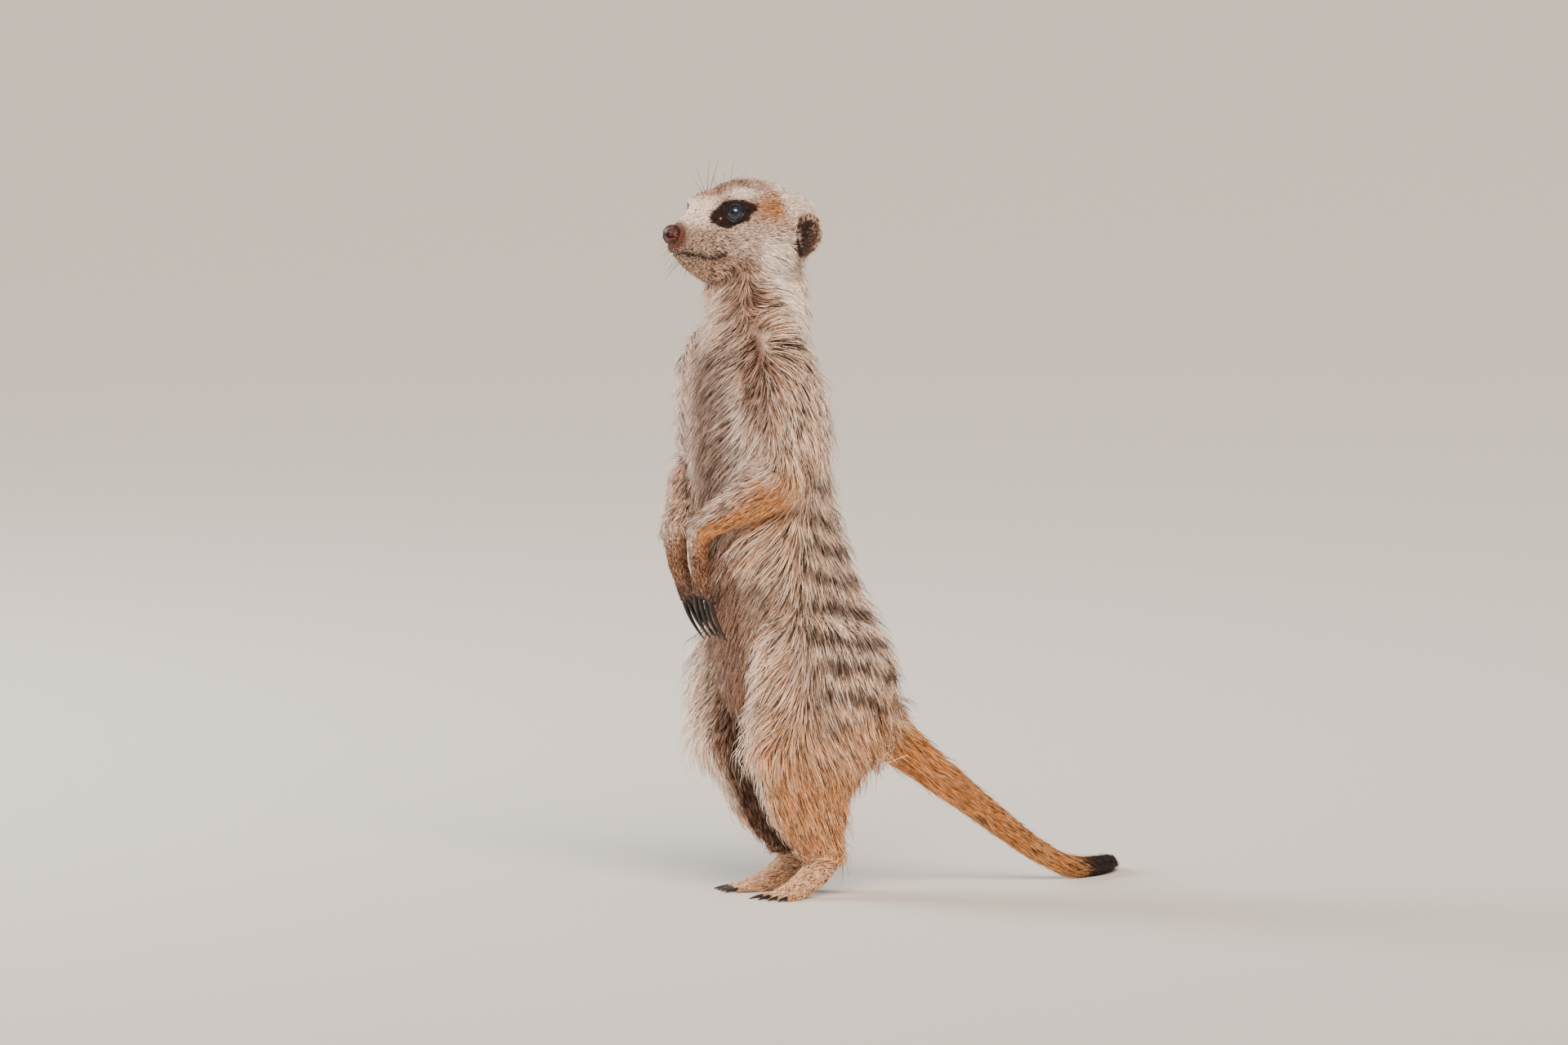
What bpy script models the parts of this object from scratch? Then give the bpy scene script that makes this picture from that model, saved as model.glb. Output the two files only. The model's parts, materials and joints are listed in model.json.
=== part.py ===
"""A life-size meerkat that stands upright on its hind feet and tail, as a still museum model.

The animal looks along -Y, its left side is +X, and the floor is Z = 0. Every solid reaches out to the
tips of the coat. The body is built as tubes lofted through a few named cross-sections. Each limb, the
head and the tail is fused into one smooth form, parted at its joints, and set into its neighbour with a
thin gap. Stations are written in millimetres, from a point on the floor under the shoulders. The part's
own origin is the middle of its bounding box's base, further back.
"""

import math

import bmesh
import bpy
from mathutils import Matrix, Vector

MM = 0.001
ORIGIN = Vector((0, 60.5, 0))  # the part's own origin, among the stations
GAP = 0.3 * MM  # clear space between two neighbouring solids
FUSE_STEP = 1.0 * MM  # size of the grid that fuses the tubes of a limb
RING_SIDES = 28  # corners round a lofted tube
RINGS_BETWEEN = 5  # rings made between two stations

LEFT, RIGHT = 1, -1
SIDE_NAMES = {LEFT: "left", RIGHT: "right"}
SIDE_AXIS = Vector((1, 0, 0))

# Stations are x, y, z of the tube's middle, then its half-width, then how far it reaches on the side
# that "ahead" names (the belly of a tube that runs down, the top of one that runs forward) and on the
# side behind.
TORSO = [
    (0, -11, 272, 16, 18, 15),  # inside the head
    (0, -12, 262, 18.5, 26, 19.5),  # throat and nape
    (0, -12, 250, 19, 24, 20),
    (0, -12, 241, 21.5, 26, 18.5),  # foot of the neck
    (0, -11.5, 229, 27, 28, 18.5),  # shoulders
    (0, -11, 215, 30, 29, 24),
    (0, -11, 203, 31.5, 29, 26.5),  # breast
    (0, -11, 185, 33, 28.5, 27),  # ribs
    (0, -9.5, 165, 33, 27, 27),  # last rib
    (0, -3.5, 144, 33.5, 29, 27),  # waist
    (0, 2, 125, 35, 33, 28.5),
    (0, 6, 110, 36, 35, 31.5),  # belly
    (0, 10, 95, 36, 36, 36),  # loins
    (0, 13, 80, 32, 32, 36),  # seat
    (0, 15, 64, 23, 22, 30),
    (0, 20, 52, 9, 10, 15),
]
NECK_FOOT = Vector((0, -12, 236))  # where the neck meets the trunk

SKULL = [
    (0, 11, 280, 7, 5.5, 8),  # back of the skull
    (0, 7, 281, 14.5, 11, 14.5),
    (0, 0, 282.5, 21, 15.5, 18),
    (0, -9, 283, 23.5, 19, 20),  # between the ears
    (0, -18, 283.5, 23.5, 20, 20),  # crown
    (0, -27, 283.5, 21.5, 19, 19),
    (0, -34, 283, 17, 15.5, 17),  # forehead, above the eyes
    (0, -39, 281.5, 12.5, 13.5, 14.5),
    (0, -43.5, 280, 9.8, 10.2, 11.5),  # foot of the muzzle
    (0, -48.5, 279, 8, 8.8, 9),
    (0, -53, 279, 6.2, 7, 6.8),
    (0, -56, 279.5, 4, 4.2, 4),
]
JAW = [
    (0, -12, 266, 11, 6, 10),
    (0, -24, 266, 12, 7, 11),
    (0, -32, 266.5, 11, 6, 10),
    (0, -39, 267.5, 9, 5.5, 7),
    (0, -45, 269.5, 6.5, 5, 5),
    (0, -50, 271.5, 4.6, 3, 3),
    (0, -53, 273, 2.8, 2, 1.6),  # chin
]
# Balls that fill out the head's left side, each a place and its half-sizes.
HEAD_SWELLINGS = [
    ((9, -13, 273), (14, 15, 12)),  # cheek
    ((7, -37, 274.5), (6.2, 9, 6.5)),  # whisker pad
    ((9.5, -33.5, 291), (7, 9.5, 7.5)),  # brow
]

TAIL = [
    (0, 28, 79, 13, 15, 15),
    (0, 41, 71, 11.5, 12.5, 13),  # root
    (0, 56, 60, 9.6, 10, 9.6),
    (0, 74, 46.5, 7.8, 8, 7.8),
    (-0.5, 94, 32, 6.6, 6.6, 6.4),
    (-1, 113, 18.3, 5.6, 5.6, 5.5),
    (-2.5, 131, 8, 5, 5, 4.9),
    (-6.5, 145, 4.7, 4.8, 4.9, 4.8),  # touches the floor
    (-14, 158, 4.3, 4.5, 4.5, 4.5),
    (-24, 168, 3.9, 4, 4, 4),
    (-35, 175, 3.2, 3, 3.2, 3),
    (-43, 178.5, 2.2, 1.4, 1.4, 1.4),
]
TAIL_JOINTS = (3, 6)  # stations where it is parted into lengths


def arm_stations(side):
    """Shoulder to knuckles. The right shoulder leads a little, and its hand hangs lower and closer."""
    lead, low, near = (4.5, 2.5, 2) if side == RIGHT else (0, 0, 0)
    return [
        (side * 14, -14 - lead, 247, 5, 7, 6),
        (side * 20.5, -14 - lead, 238.5, 9.5, 15, 8),
        (side * 24.5, -13.5 - lead, 228, 12, 18.5, 10.5),  # shoulder
        (side * 27, -12.5 - lead, 206, 13, 19.5, 16.5),
        (side * 29.5, -13.5 - lead, 190, 12.5, 18, 15.5),
        (side * 31.5, -19 - lead * 0.9, 177, 10.5, 12, 11),  # elbow
        (side * 28, -28.5 - lead * 0.6, 171.5, 9, 10.5, 9.5),
        (side * 21, -40.4 + near, 164 - low * 0.5, 7.2, 7.7, 7.4),
        (side * (15 - near), -49 + near, 157 - low, 5.6, 5.6, 5.6),  # wrist
        (side * (13 - near * 0.5), -49.3 + near * 1.3, 150 - low, 5.5, 4.6, 4.6),
        (side * 12, -48.6 + near * 1.6, 142 - low, 5.5, 3.7, 3.7),  # palm
        (side * 11, -47.2 + near * 2, 135 - low, 5.4, 3.1, 3.1),  # knuckles
    ]


def leg_stations(side):
    """Hip to the ball of the foot. The right leg stands a little further back than the left."""
    back = 4 if side == RIGHT else 0
    return [
        (side * 20, 20, 121, 7, 14, 12),
        (side * 24.5, 14, 107, 15, 36, 24),  # hip
        (side * 27, 9, 90, 17.5, 36.5, 30),
        (side * 27, 3 + back * 0.5, 75, 17, 33, 30),  # thigh
        (side * 25.5, -1.5 + back, 62, 15.5, 30, 27),  # knee
        (side * 23, -1 + back, 50, 13, 25, 23.5),
        (side * 20.5, 0.5 + back, 41, 10.8, 21.5, 18.5),
        (side * 18, 3.5 + back, 33, 9, 18, 15),  # shank
        (side * 16, 6.5 + back, 25.5, 7.5, 14, 12),
        (side * 14.5, 9.5 + back, 18, 6.6, 9.5, 8.6),  # hock
        (side * 15.8, 6.5 + back, 12.2, 6.3, 6.8, 7),
        (side * 17.5, 0.5 + back, 7.8, 6.5, 4.8, 6.2),
        (side * 19.5, -6.5 + back, 4.2, 7, 3.5, 4.9),  # ball of the foot
        (side * 20.7, -11.5 + back, 3.1, 6.8, 2.7, 3.8),
    ]


ELBOW, WRIST, KNUCKLES = 5, 8, 11  # places in arm_stations
KNEE, HOCK, BALL = 4, 9, 12  # places in leg_stations

# Digits fan out from the knuckles or the ball of the foot, innermost first.
DIGITS = 4
FINGER_LENGTH, FINGER_RADIUS = 9.5, 2.1
FINGER_SPREAD, FINGER_FAN = 3.5, 6
TOE_LENGTH, TOE_RADIUS = 9.0, 2.3
TOE_SINK = 0.7  # of each toe below the floor, cut off as the flat of the sole
TOE_SPREAD, TOE_FAN = 3.9, 9
FORECLAW_LENGTH, FORECLAW_RADIUS, FORECLAW_BEND = 19.5, 1.3, 27
HINDCLAW_LENGTH, HINDCLAW_RADIUS, HINDCLAW_BEND = 7.5, 1.1, 16

ARM_PARTS = ("upper_arm", "forearm", "hand")
LEG_PARTS = ("thigh", "shank", "foot")
TAIL_PARTS = ("tail_base", "tail_middle", "tail_tip")
# Triangles each part is thinned to.
ARM_FACES = (190, 140, 280)
LEG_FACES = (210, 130, 250)
TAIL_FACES = (100, 130, 150)
TORSO_FACES = (140, 400)
HEAD_FACES = 740
PAW_FUSE_STEP = 0.7 * MM
SOLE = Vector((0, 0, 0))  # the floor
DOWN = Vector((0, 0, -1))

EYE_RADIUS = 4.8
EYE_PLACE = (13.2, -31.8, 290)  # of the left eye
EAR_PLACE = (22.5, -2.5, 280.2)  # of the left ear's middle
EAR_HALF_LENGTH, EAR_HALF_HEIGHT, EAR_DEPTH, EAR_WALL = 6.6, 9.6, 4.6, 1.7
EAR_TURN = -12  # opens a little forward
EAR_TAPER, EAR_LEAN = 0.34, 2.4  # its lower end is this share shorter, and set this far forward
NOSE_PLACE = (0, -54.6, 280.8)
NOSE_HALVES = (4.7, 3.9, 4.3)


def metres(place):
    """A place among the stations, as a place in the part's own frame."""
    return (Vector(place) - ORIGIN) * MM


def collection_named(name):
    made = bpy.data.collections.new(name)
    bpy.context.scene.collection.children.link(made)
    return made


def clear_scene():
    for old in list(bpy.data.objects):
        bpy.data.objects.remove(old)


def material_of(name, colour, roughness):
    made = bpy.data.materials.new(name)
    made.use_nodes = True
    shader = made.node_tree.nodes["Principled BSDF"]
    shader.inputs["Base Color"].default_value = (*colour, 1)
    shader.inputs["Roughness"].default_value = roughness
    shader.inputs["Metallic"].default_value = 0
    return made


def object_of(name, mesh, collection):
    made = bpy.data.objects.new(name, mesh)
    collection.objects.link(made)
    return made


def mesh_of(shape, name):
    mesh = bpy.data.meshes.new(name)
    shape.to_mesh(mesh)
    shape.free()
    return mesh


def between(stations, index, share):
    """The station a share of the way from this one to the next, on a smooth Catmull-Rom curve."""
    last = len(stations) - 1
    a, b, c, d = (stations[min(max(index + k, 0), last)] for k in (-1, 0, 1, 2))
    t, t2, t3 = share, share * share, share**3
    return [
        0.5 * (2 * q + (r - p) * t + (2 * p - 5 * q + 4 * r - s) * t2 + (3 * q - p - 3 * r + s) * t3)
        for p, q, r, s in zip(a, b, c, d)
    ]


def filled_in(stations, rings):
    made = [
        between(stations, index, step / rings)
        for index in range(len(stations) - 1)
        for step in range(rings)
    ]
    return made + [list(stations[-1])]


def squared(value, power):
    """A sine or cosine bent so that the round section it draws grows squarer."""
    return math.copysign(abs(value) ** power, value)


def loft(stations, sides=RING_SIDES, rings=RINGS_BETWEEN, power=1.0):
    """A closed tube through the stations, as a bmesh in metres. A lower power makes it squarer."""
    rows = filled_in(stations, rings)
    middles = [Vector(row[:3]) for row in rows]
    shape = bmesh.new()
    rings = []
    for index, row in enumerate(rows):
        ahead_of, after = middles[max(index - 1, 0)], middles[min(index + 1, len(rows) - 1)]
        along = (after - ahead_of).normalized()
        across = (SIDE_AXIS - along * SIDE_AXIS.dot(along)).normalized()
        front = along.cross(across)
        half_width, reach_front, reach_back = row[3:]
        ring = []
        for corner in range(sides):
            angle = 2 * math.pi * corner / sides
            reach = reach_front if math.sin(angle) > 0 else reach_back
            sideways = across * half_width * squared(math.cos(angle), power)
            place = middles[index] + sideways + front * reach * squared(math.sin(angle), power)
            ring.append(shape.verts.new(metres(place)))
        rings.append(ring)
    for ring, following in zip(rings, rings[1:]):
        for corner in range(sides):
            beside = (corner + 1) % sides
            shape.faces.new((ring[corner], ring[beside], following[beside], following[corner]))
    shape.faces.new(rings[0])
    shape.faces.new(rings[-1])
    bmesh.ops.recalc_face_normals(shape, faces=shape.faces)
    return shape


def ball(place, halves, turn=None, segments=24):
    """An ellipsoid with these half-sizes, in millimetres, turned and then placed."""
    shape = bmesh.new()
    bmesh.ops.create_uvsphere(shape, u_segments=segments, v_segments=segments // 2, radius=1)
    sized = Matrix.Diagonal((*[half * MM for half in halves], 1))
    moved = Matrix.Translation(metres(place)) @ (turn or Matrix.Identity(4)) @ sized
    bmesh.ops.transform(shape, matrix=moved, verts=shape.verts)
    return shape


def evaluated_copy(obj):
    """The object's mesh with its modifiers applied."""
    bpy.context.view_layer.update()
    graph = bpy.context.evaluated_depsgraph_get()
    return bpy.data.meshes.new_from_object(obj.evaluated_get(graph))


def refined(mesh, name, add_modifier):
    """The mesh after one modifier, made on a helper object that is then removed."""
    helper = object_of(name + "_blank", mesh, cutters)
    add_modifier(helper)
    made = evaluated_copy(helper)
    bpy.data.objects.remove(helper)
    return made


def fused(name, shapes, smoothing, step=FUSE_STEP):
    """One smooth, finely divided closed mesh out of overlapping shapes."""
    joined = bmesh.new()
    for shape in shapes:
        joined.from_mesh(mesh_of(shape, "shape"))

    def fuse(helper):
        remesh = helper.modifiers.new("fuse", "REMESH")
        remesh.mode = "VOXEL"
        remesh.voxel_size = step
        smooth = helper.modifiers.new("blend", "SMOOTH")
        smooth.factor = 0.5
        smooth.iterations = smoothing

    return refined(mesh_of(joined, name), name, fuse)


def thinned(mesh, faces):
    """The mesh with about this many triangles."""
    mesh.calc_loop_triangles()
    share = min(1, faces / len(mesh.loop_triangles))

    def thin(helper):
        decimate = helper.modifiers.new("thin", "DECIMATE")
        decimate.ratio = share
        decimate.use_collapse_triangulate = True

    return refined(mesh, mesh.name, thin)


def cut_mesh(mesh, place, normal, spare):
    """The part of a closed mesh behind the plane, cut this far short of it and closed again."""
    shape = bmesh.new()
    shape.from_mesh(mesh)
    direction = normal.normalized()
    everything = shape.verts[:] + shape.edges[:] + shape.faces[:]
    cut = bmesh.ops.bisect_plane(
        shape,
        geom=everything,
        plane_co=metres(place) - direction * spare,
        plane_no=direction,
        clear_outer=True,
    )
    edges = [piece for piece in cut["geom_cut"] if isinstance(piece, bmesh.types.BMEdge)]
    bmesh.ops.edgenet_fill(shape, edges=edges)
    bmesh.ops.triangulate(shape, faces=[face for face in shape.faces if len(face.verts) > 3])
    bmesh.ops.recalc_face_normals(shape, faces=shape.faces)
    return mesh_of(shape, mesh.name)


def parted(mesh, planes, faces):
    """The lengths of a limb between these planes, each a place and a direction down the limb.

    A length is first cut a little long, then thinned, then cut exactly, so that its ends stay flat.
    """
    lengths = []
    for index, budget in enumerate(faces):
        ends = [(place, along) for place, along in planes[index:][:1]]
        ends += [(place, -along) for place, along in planes[:index][-1:]]
        length = mesh
        for place, outwards in ends:
            length = cut_mesh(length, place, outwards, -2 * MM)
        length = thinned(length, budget)
        for place, outwards in ends:
            length = cut_mesh(length, place, outwards, GAP / 2)
        lengths.append(length)
    return lengths


def node(name, mesh, finish):
    made = object_of(name, mesh, animal)
    mesh.name = name
    mesh.materials.clear()
    mesh.materials.append(finish)
    mesh.shade_smooth()
    mesh.set_sharp_from_angle(angle=math.radians(50))
    return made


def carve(target, tool):
    """Sinks the tool, an object, into the target with a gap all round it."""
    carve_mesh(target, evaluated_copy(tool), tool.name)


def carve_mesh(target, mesh, name):
    helper = object_of(name + "_in_" + target.name, mesh, cutters)
    swell = helper.modifiers.new("swell", "DISPLACE")
    swell.mid_level = 0
    swell.strength = GAP
    helper.hide_render = True
    helper.display_type = "WIRE"
    cut = target.modifiers.new("seat_" + name, "BOOLEAN")
    cut.operation = "DIFFERENCE"
    cut.object = helper


def joint_plane(stations, index):
    """Place and direction of a cut square to the limb at this station."""
    here, above, below = (Vector(stations[index + k][:3]) for k in (0, -1, 1))
    return here, (here - above).normalized() + (below - here).normalized()


def digit_frames(root, forward, spread, fan, side):
    """Place and direction of each digit's root: side by side across the paw, fanning outwards."""
    across = (SIDE_AXIS * side - forward * (SIDE_AXIS * side).dot(forward)).normalized()
    frames = []
    for digit in range(DIGITS):
        offset = digit - (DIGITS - 1) / 2
        turned = (forward + across * math.tan(math.radians(fan * offset))).normalized()
        frames.append((root + across * spread * offset, turned))
    return frames


def claw_stations(root, forward, curl_towards, length, radius, bend):
    """A tapering claw on an arc that starts along forward and bends towards curl_towards."""
    steps = 4
    stations = []
    place = root.copy()
    for step in range(steps + 1):
        share = step / steps
        width = radius * (1 - 0.86 * share**1.3)
        stations.append((*place, width * 0.75, width, width))
        angle = math.radians(bend) * (share + 0.5 / steps)
        heading = forward * math.cos(angle) + curl_towards * math.sin(angle)
        place = place + heading * length / steps
    return stations


def digit_stations(root, forward, bend_towards, length, radius):
    """A finger or toe: it starts inside the paw, swells at its pad and rounds off."""
    steps = ((-0.5, 0.8, 0), (0, 0.95, 0), (0.45, 0.88, 0.02), (0.8, 0.95, 0.06), (1, 0.7, 0.1), (1.08, 0.3, 0.12))
    stations = []
    for along, size, dip in steps:
        place = root + forward * along * length + bend_towards * dip * length
        stations.append((*place, radius * size, radius * size, radius * size))
    return stations


def paw_parts(root, forward, palm, side, spread, fan, finger, claws):
    """The digits of a paw as lofts, and the claws at their tips as meshes."""
    length, radius = finger
    claw_length, claw_radius, bend = claws
    digits, nails = [], []
    for place, heading in digit_frames(root, forward, spread, fan, side):
        digits.append(loft(digit_stations(place, heading, palm, length, radius), sides=16))
        tip = place + heading * length * 0.78 + palm * length * 0.02
        stations = claw_stations(tip, heading, palm, claw_length, claw_radius, bend)
        nails.append(mesh_of(loft(stations, sides=6, rings=1), "claw"))
    return digits, nails


def tangents(stations, index):
    here, above, below = (Vector(stations[index + k][:3]) for k in (0, -1, 1))
    return (here - above).normalized(), (below - here).normalized()


def build_arm(side, finishes):
    """The arm's nodes. Its claws are sunk into the fingers."""
    name = SIDE_NAMES[side]
    stations = arm_stations(side)
    root = Vector(stations[KNUCKLES][:3])
    forward = tangents(stations, KNUCKLES - 1)[1]
    palm = Vector((0, 1, 0))
    palm = (palm - forward * palm.dot(forward)).normalized()
    digits, nails = paw_parts(
        root,
        forward,
        palm,
        side,
        FINGER_SPREAD,
        FINGER_FAN,
        (FINGER_LENGTH, FINGER_RADIUS),
        (FORECLAW_LENGTH, FORECLAW_RADIUS, FORECLAW_BEND),
    )
    limb = fused("arm", [loft(stations)] + digits, 6, PAW_FUSE_STEP)
    planes = [joint_plane(stations, ELBOW), joint_plane(stations, WRIST)]
    lengths = parted(limb, planes, ARM_FACES)
    nodes = [node(f"{part}_{name}", mesh, finishes["coat"]) for part, mesh in zip(ARM_PARTS, lengths)]
    add_claws(nodes[-1], "fore_claw_" + name, nails, finishes["claw"])
    return nodes


def build_leg(side, finishes):
    """The leg's nodes, with a flat sole. Its claws are sunk into the toes."""
    name = SIDE_NAMES[side]
    stations = leg_stations(side)
    root = Vector(stations[BALL][:3])
    forward = Vector((side * 0.24, -1, 0)).normalized()
    root += forward * 4
    root.z = TOE_RADIUS - TOE_SINK
    digits, nails = paw_parts(
        root,
        forward,
        DOWN,
        side,
        TOE_SPREAD,
        TOE_FAN,
        (TOE_LENGTH, TOE_RADIUS),
        (HINDCLAW_LENGTH, HINDCLAW_RADIUS, HINDCLAW_BEND),
    )
    limb = fused("leg", [loft(stations)] + digits, 6, PAW_FUSE_STEP)
    planes = [joint_plane(stations, KNEE), joint_plane(stations, HOCK)]
    lengths = parted(limb, planes, LEG_FACES)
    lengths[-1] = cut_mesh(lengths[-1], SOLE, DOWN, 0)
    nodes = [node(f"{part}_{name}", mesh, finishes["coat"]) for part, mesh in zip(LEG_PARTS, lengths)]
    add_claws(nodes[-1], "hind_claw_" + name, nails, finishes["claw"])
    return nodes


def add_claws(paw, name, nails, finish):
    for number, nail in enumerate(nails, 1):
        carve(paw, node(f"{name}_{number}", nail, finish))


def build_head(finishes):
    shapes = [loft(SKULL, power=0.92), loft(JAW)]
    for place, halves in HEAD_SWELLINGS:
        for side in (LEFT, RIGHT):
            shapes.append(ball((place[0] * side, *place[1:]), halves))
    head = node("head", thinned(fused("head", shapes, 8, PAW_FUSE_STEP), HEAD_FACES), finishes["coat"])
    nose = node("nose", mesh_of(ball(NOSE_PLACE, NOSE_HALVES, segments=12), "nose"), finishes["nose"])
    carve(head, nose)
    for side in (LEFT, RIGHT):
        name = SIDE_NAMES[side]
        eye_place = (EYE_PLACE[0] * side, *EYE_PLACE[1:])
        eye = ball(eye_place, (EYE_RADIUS,) * 3, segments=12)
        carve(head, node("eye_" + name, mesh_of(eye, "eye"), finishes["eye"]))
        bowl, cup = ear_meshes(side)
        carve_mesh(head, bowl, "ear_" + name)
        node("ear_" + name, cup, finishes["ear"])
    return head


def tapered_ear(shape):
    """The shape, drawn in and forward below the ear's middle, so that the lobe ends in a blunt point."""
    middle = metres(EAR_PLACE)
    for vert in shape.verts:
        share = min(max((middle.z - vert.co.z) / (EAR_HALF_HEIGHT * MM), 0), 1)
        vert.co.y += (middle.y - vert.co.y) * EAR_TAPER * share - EAR_LEAN * MM * share**1.5
    return shape


def ear_meshes(side):
    """The whole bowl of an ear, and the bowl hollowed to a cup that opens outwards."""
    place = (EAR_PLACE[0] * side, *EAR_PLACE[1:])
    turn = Matrix.Rotation(math.radians(EAR_TURN * side), 4, "Z")
    halves = (EAR_DEPTH, EAR_HALF_LENGTH, EAR_HALF_HEIGHT)
    bowl = mesh_of(tapered_ear(ball(place, halves, turn, 14)), "bowl")
    cup = object_of("ear_blank", bowl.copy(), cutters)
    hollow_place = Vector(place) + turn @ Vector((side * EAR_DEPTH * 0.8, 0, 0))
    hollow_halves = (EAR_DEPTH * 0.9, EAR_HALF_LENGTH - EAR_WALL, EAR_HALF_HEIGHT - EAR_WALL)
    hollow_ball = tapered_ear(ball(hollow_place, hollow_halves, turn, 12))
    hollow = object_of("ear_hollow", mesh_of(hollow_ball, "hollow"), cutters)
    cut = cup.modifiers.new("hollow", "BOOLEAN")
    cut.operation = "DIFFERENCE"
    cut.object = hollow
    mesh = evaluated_copy(cup)
    bpy.data.objects.remove(cup)
    bpy.data.objects.remove(hollow)
    return bowl, mesh


def build_tail(finishes):
    tail = fused("tail", [loft(TAIL)], 4)
    tail = cut_mesh(tail, SOLE, DOWN, 0)
    planes = []
    for index in TAIL_JOINTS:
        planes.append(joint_plane(TAIL, index))
    lengths = parted(tail, planes, TAIL_FACES)
    lengths = [cut_mesh(length, SOLE, DOWN, 0) for length in lengths]
    return [node(part, mesh, finishes["coat"]) for part, mesh in zip(TAIL_PARTS, lengths)]


def build_torso(finishes):
    torso = fused("torso", [loft(TORSO)], 4)
    neck, trunk = parted(torso, [(NECK_FOOT, DOWN)], TORSO_FACES)
    return node("neck", neck, finishes["coat"]), node("trunk", trunk, finishes["coat"])


clear_scene()
animal = collection_named("meerkat")
cutters = collection_named("cutters")
FINISHES = {
    "coat": material_of("coat", (0.42, 0.31, 0.19), 0.9),
    "ear": material_of("ear", (0.05, 0.035, 0.025), 0.8),
    "eye": material_of("eye", (0.012, 0.008, 0.006), 0.08),
    "nose": material_of("nose", (0.05, 0.03, 0.025), 0.5),
    "claw": material_of("claw", (0.03, 0.024, 0.02), 0.35),
}

head_node = build_head(FINISHES)
neck_node, trunk_node = build_torso(FINISHES)
tail_nodes = build_tail(FINISHES)
carve(neck_node, head_node)
carve(trunk_node, tail_nodes[0])
for body_side in (LEFT, RIGHT):
    arm = build_arm(body_side, FINISHES)
    leg = build_leg(body_side, FINISHES)
    for limb_part in (*arm[:2], *leg[:2]):
        carve(trunk_node, limb_part)
    carve(neck_node, arm[0])
    carve(tail_nodes[0], leg[0])
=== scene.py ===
"""The looks of a life-size meerkat that stands upright on its hind feet and tail.

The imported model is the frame. Its flesh becomes one skin, which lies inside the solids by the coat's
depth, and the coat is nearly 200,000 thin solid locks that follow the lie of the fur. Shapes are
worked out in millimetres from a point on the floor under the shoulders: x runs to the animal's left,
y to its back and z up. They become metres in the frame's own place when a mesh is made.
"""

import json
import math

import bmesh
import bpy
import numpy as np
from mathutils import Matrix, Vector, kdtree
from mathutils.bvhtree import BVHTree


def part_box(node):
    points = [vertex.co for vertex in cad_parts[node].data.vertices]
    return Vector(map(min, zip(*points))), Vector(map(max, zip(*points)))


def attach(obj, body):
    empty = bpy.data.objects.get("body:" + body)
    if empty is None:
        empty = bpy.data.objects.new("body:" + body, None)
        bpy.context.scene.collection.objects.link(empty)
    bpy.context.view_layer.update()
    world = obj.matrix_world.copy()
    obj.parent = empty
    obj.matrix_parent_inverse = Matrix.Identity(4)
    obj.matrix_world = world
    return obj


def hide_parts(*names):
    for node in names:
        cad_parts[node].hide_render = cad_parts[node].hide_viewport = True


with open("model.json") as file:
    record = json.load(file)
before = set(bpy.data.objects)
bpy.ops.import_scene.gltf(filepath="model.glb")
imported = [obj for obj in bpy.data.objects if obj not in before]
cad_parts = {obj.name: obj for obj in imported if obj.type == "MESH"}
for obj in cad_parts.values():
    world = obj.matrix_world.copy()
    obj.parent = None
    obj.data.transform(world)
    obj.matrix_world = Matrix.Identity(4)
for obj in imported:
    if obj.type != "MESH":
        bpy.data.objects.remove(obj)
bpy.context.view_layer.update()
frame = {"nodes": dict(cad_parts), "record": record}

MM = 0.001
SHOULDERS = np.array((0, 60.5, 0))  # from the middle of the model's base to under the shoulders
SIDES = {"left": 1, "right": -1}
SEED = 20
SLOTS = {part["node"]: part["material_slot"] for part in frame["record"]["subparts"]}
FLESH = [name for name, slot in SLOTS.items() if slot in ("coat", "ear")]
FILLERS = ["nose", "eye_left", "eye_right"]  # fused into the skin, so that it closes behind them

FUSE_STEP = 0.6  # mm, of the grid that fuses the flesh into one skin
SWELL = 0.35  # mm that each solid grows first, to close the gaps between them
SKIN_FACES = 186000  # triangles of the skin
COAT_FACES = 1450000  # triangles of all the locks together
COAT_PIECES = 8


# ---------------------------------------------------------------- places and small sums


def node_box(name):
    """Lowest and highest corner of a CAD node, in millimetres from under the shoulders."""
    low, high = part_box(name)
    return np.array(low) / MM + SHOULDERS, np.array(high) / MM + SHOULDERS


def node_middle(name):
    low, high = node_box(name)
    return (low + high) / 2


def in_frame(points):
    """Metres in the frame, of places in millimetres from under the shoulders."""
    return (points - SHOULDERS) * MM


def unit(vectors):
    length = np.linalg.norm(vectors, axis=-1, keepdims=True)
    return vectors / np.maximum(length, 1e-9)


def step(values, start, end):
    """0 before start, 1 after end, and smooth between them. start may be above end."""
    share = np.clip((values - start) / (end - start), 0, 1)
    return share * share * (3 - 2 * share)


def around(points, place, reach):
    """1 at the place and 0 beyond it, with the reach along each axis in millimetres."""
    apart = (points - np.array(place)) / np.array(reach)
    return np.exp(-(apart**2).sum(axis=1) * 1.4)


def flat_to(vectors, normals):
    """The vectors, laid flat on the surface."""
    return unit(vectors - normals * (vectors * normals).sum(axis=1, keepdims=True))


def tree_of(places):
    tree = kdtree.KDTree(len(places))
    for index, place in enumerate(places.tolist()):
        tree.insert(place, index)
    tree.balance()
    return tree


def nearest(tree, places):
    """For each place, which of the tree's places is nearest."""
    return np.fromiter((tree.find(place)[1] for place in places.tolist()), int, len(places))


def distance_to_line(points, line):
    """How far each point is from a line through these places."""
    least = np.full(len(points), np.inf)
    for start, end in zip(line[:-1], line[1:]):
        run = end - start
        share = np.clip(((points - start) @ run) / (run @ run), 0, 1)
        apart = np.linalg.norm(points - start - share[:, None] * run, axis=1)
        least = np.minimum(least, apart)
    return least


# ---------------------------------------------------------------- meshes


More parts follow.
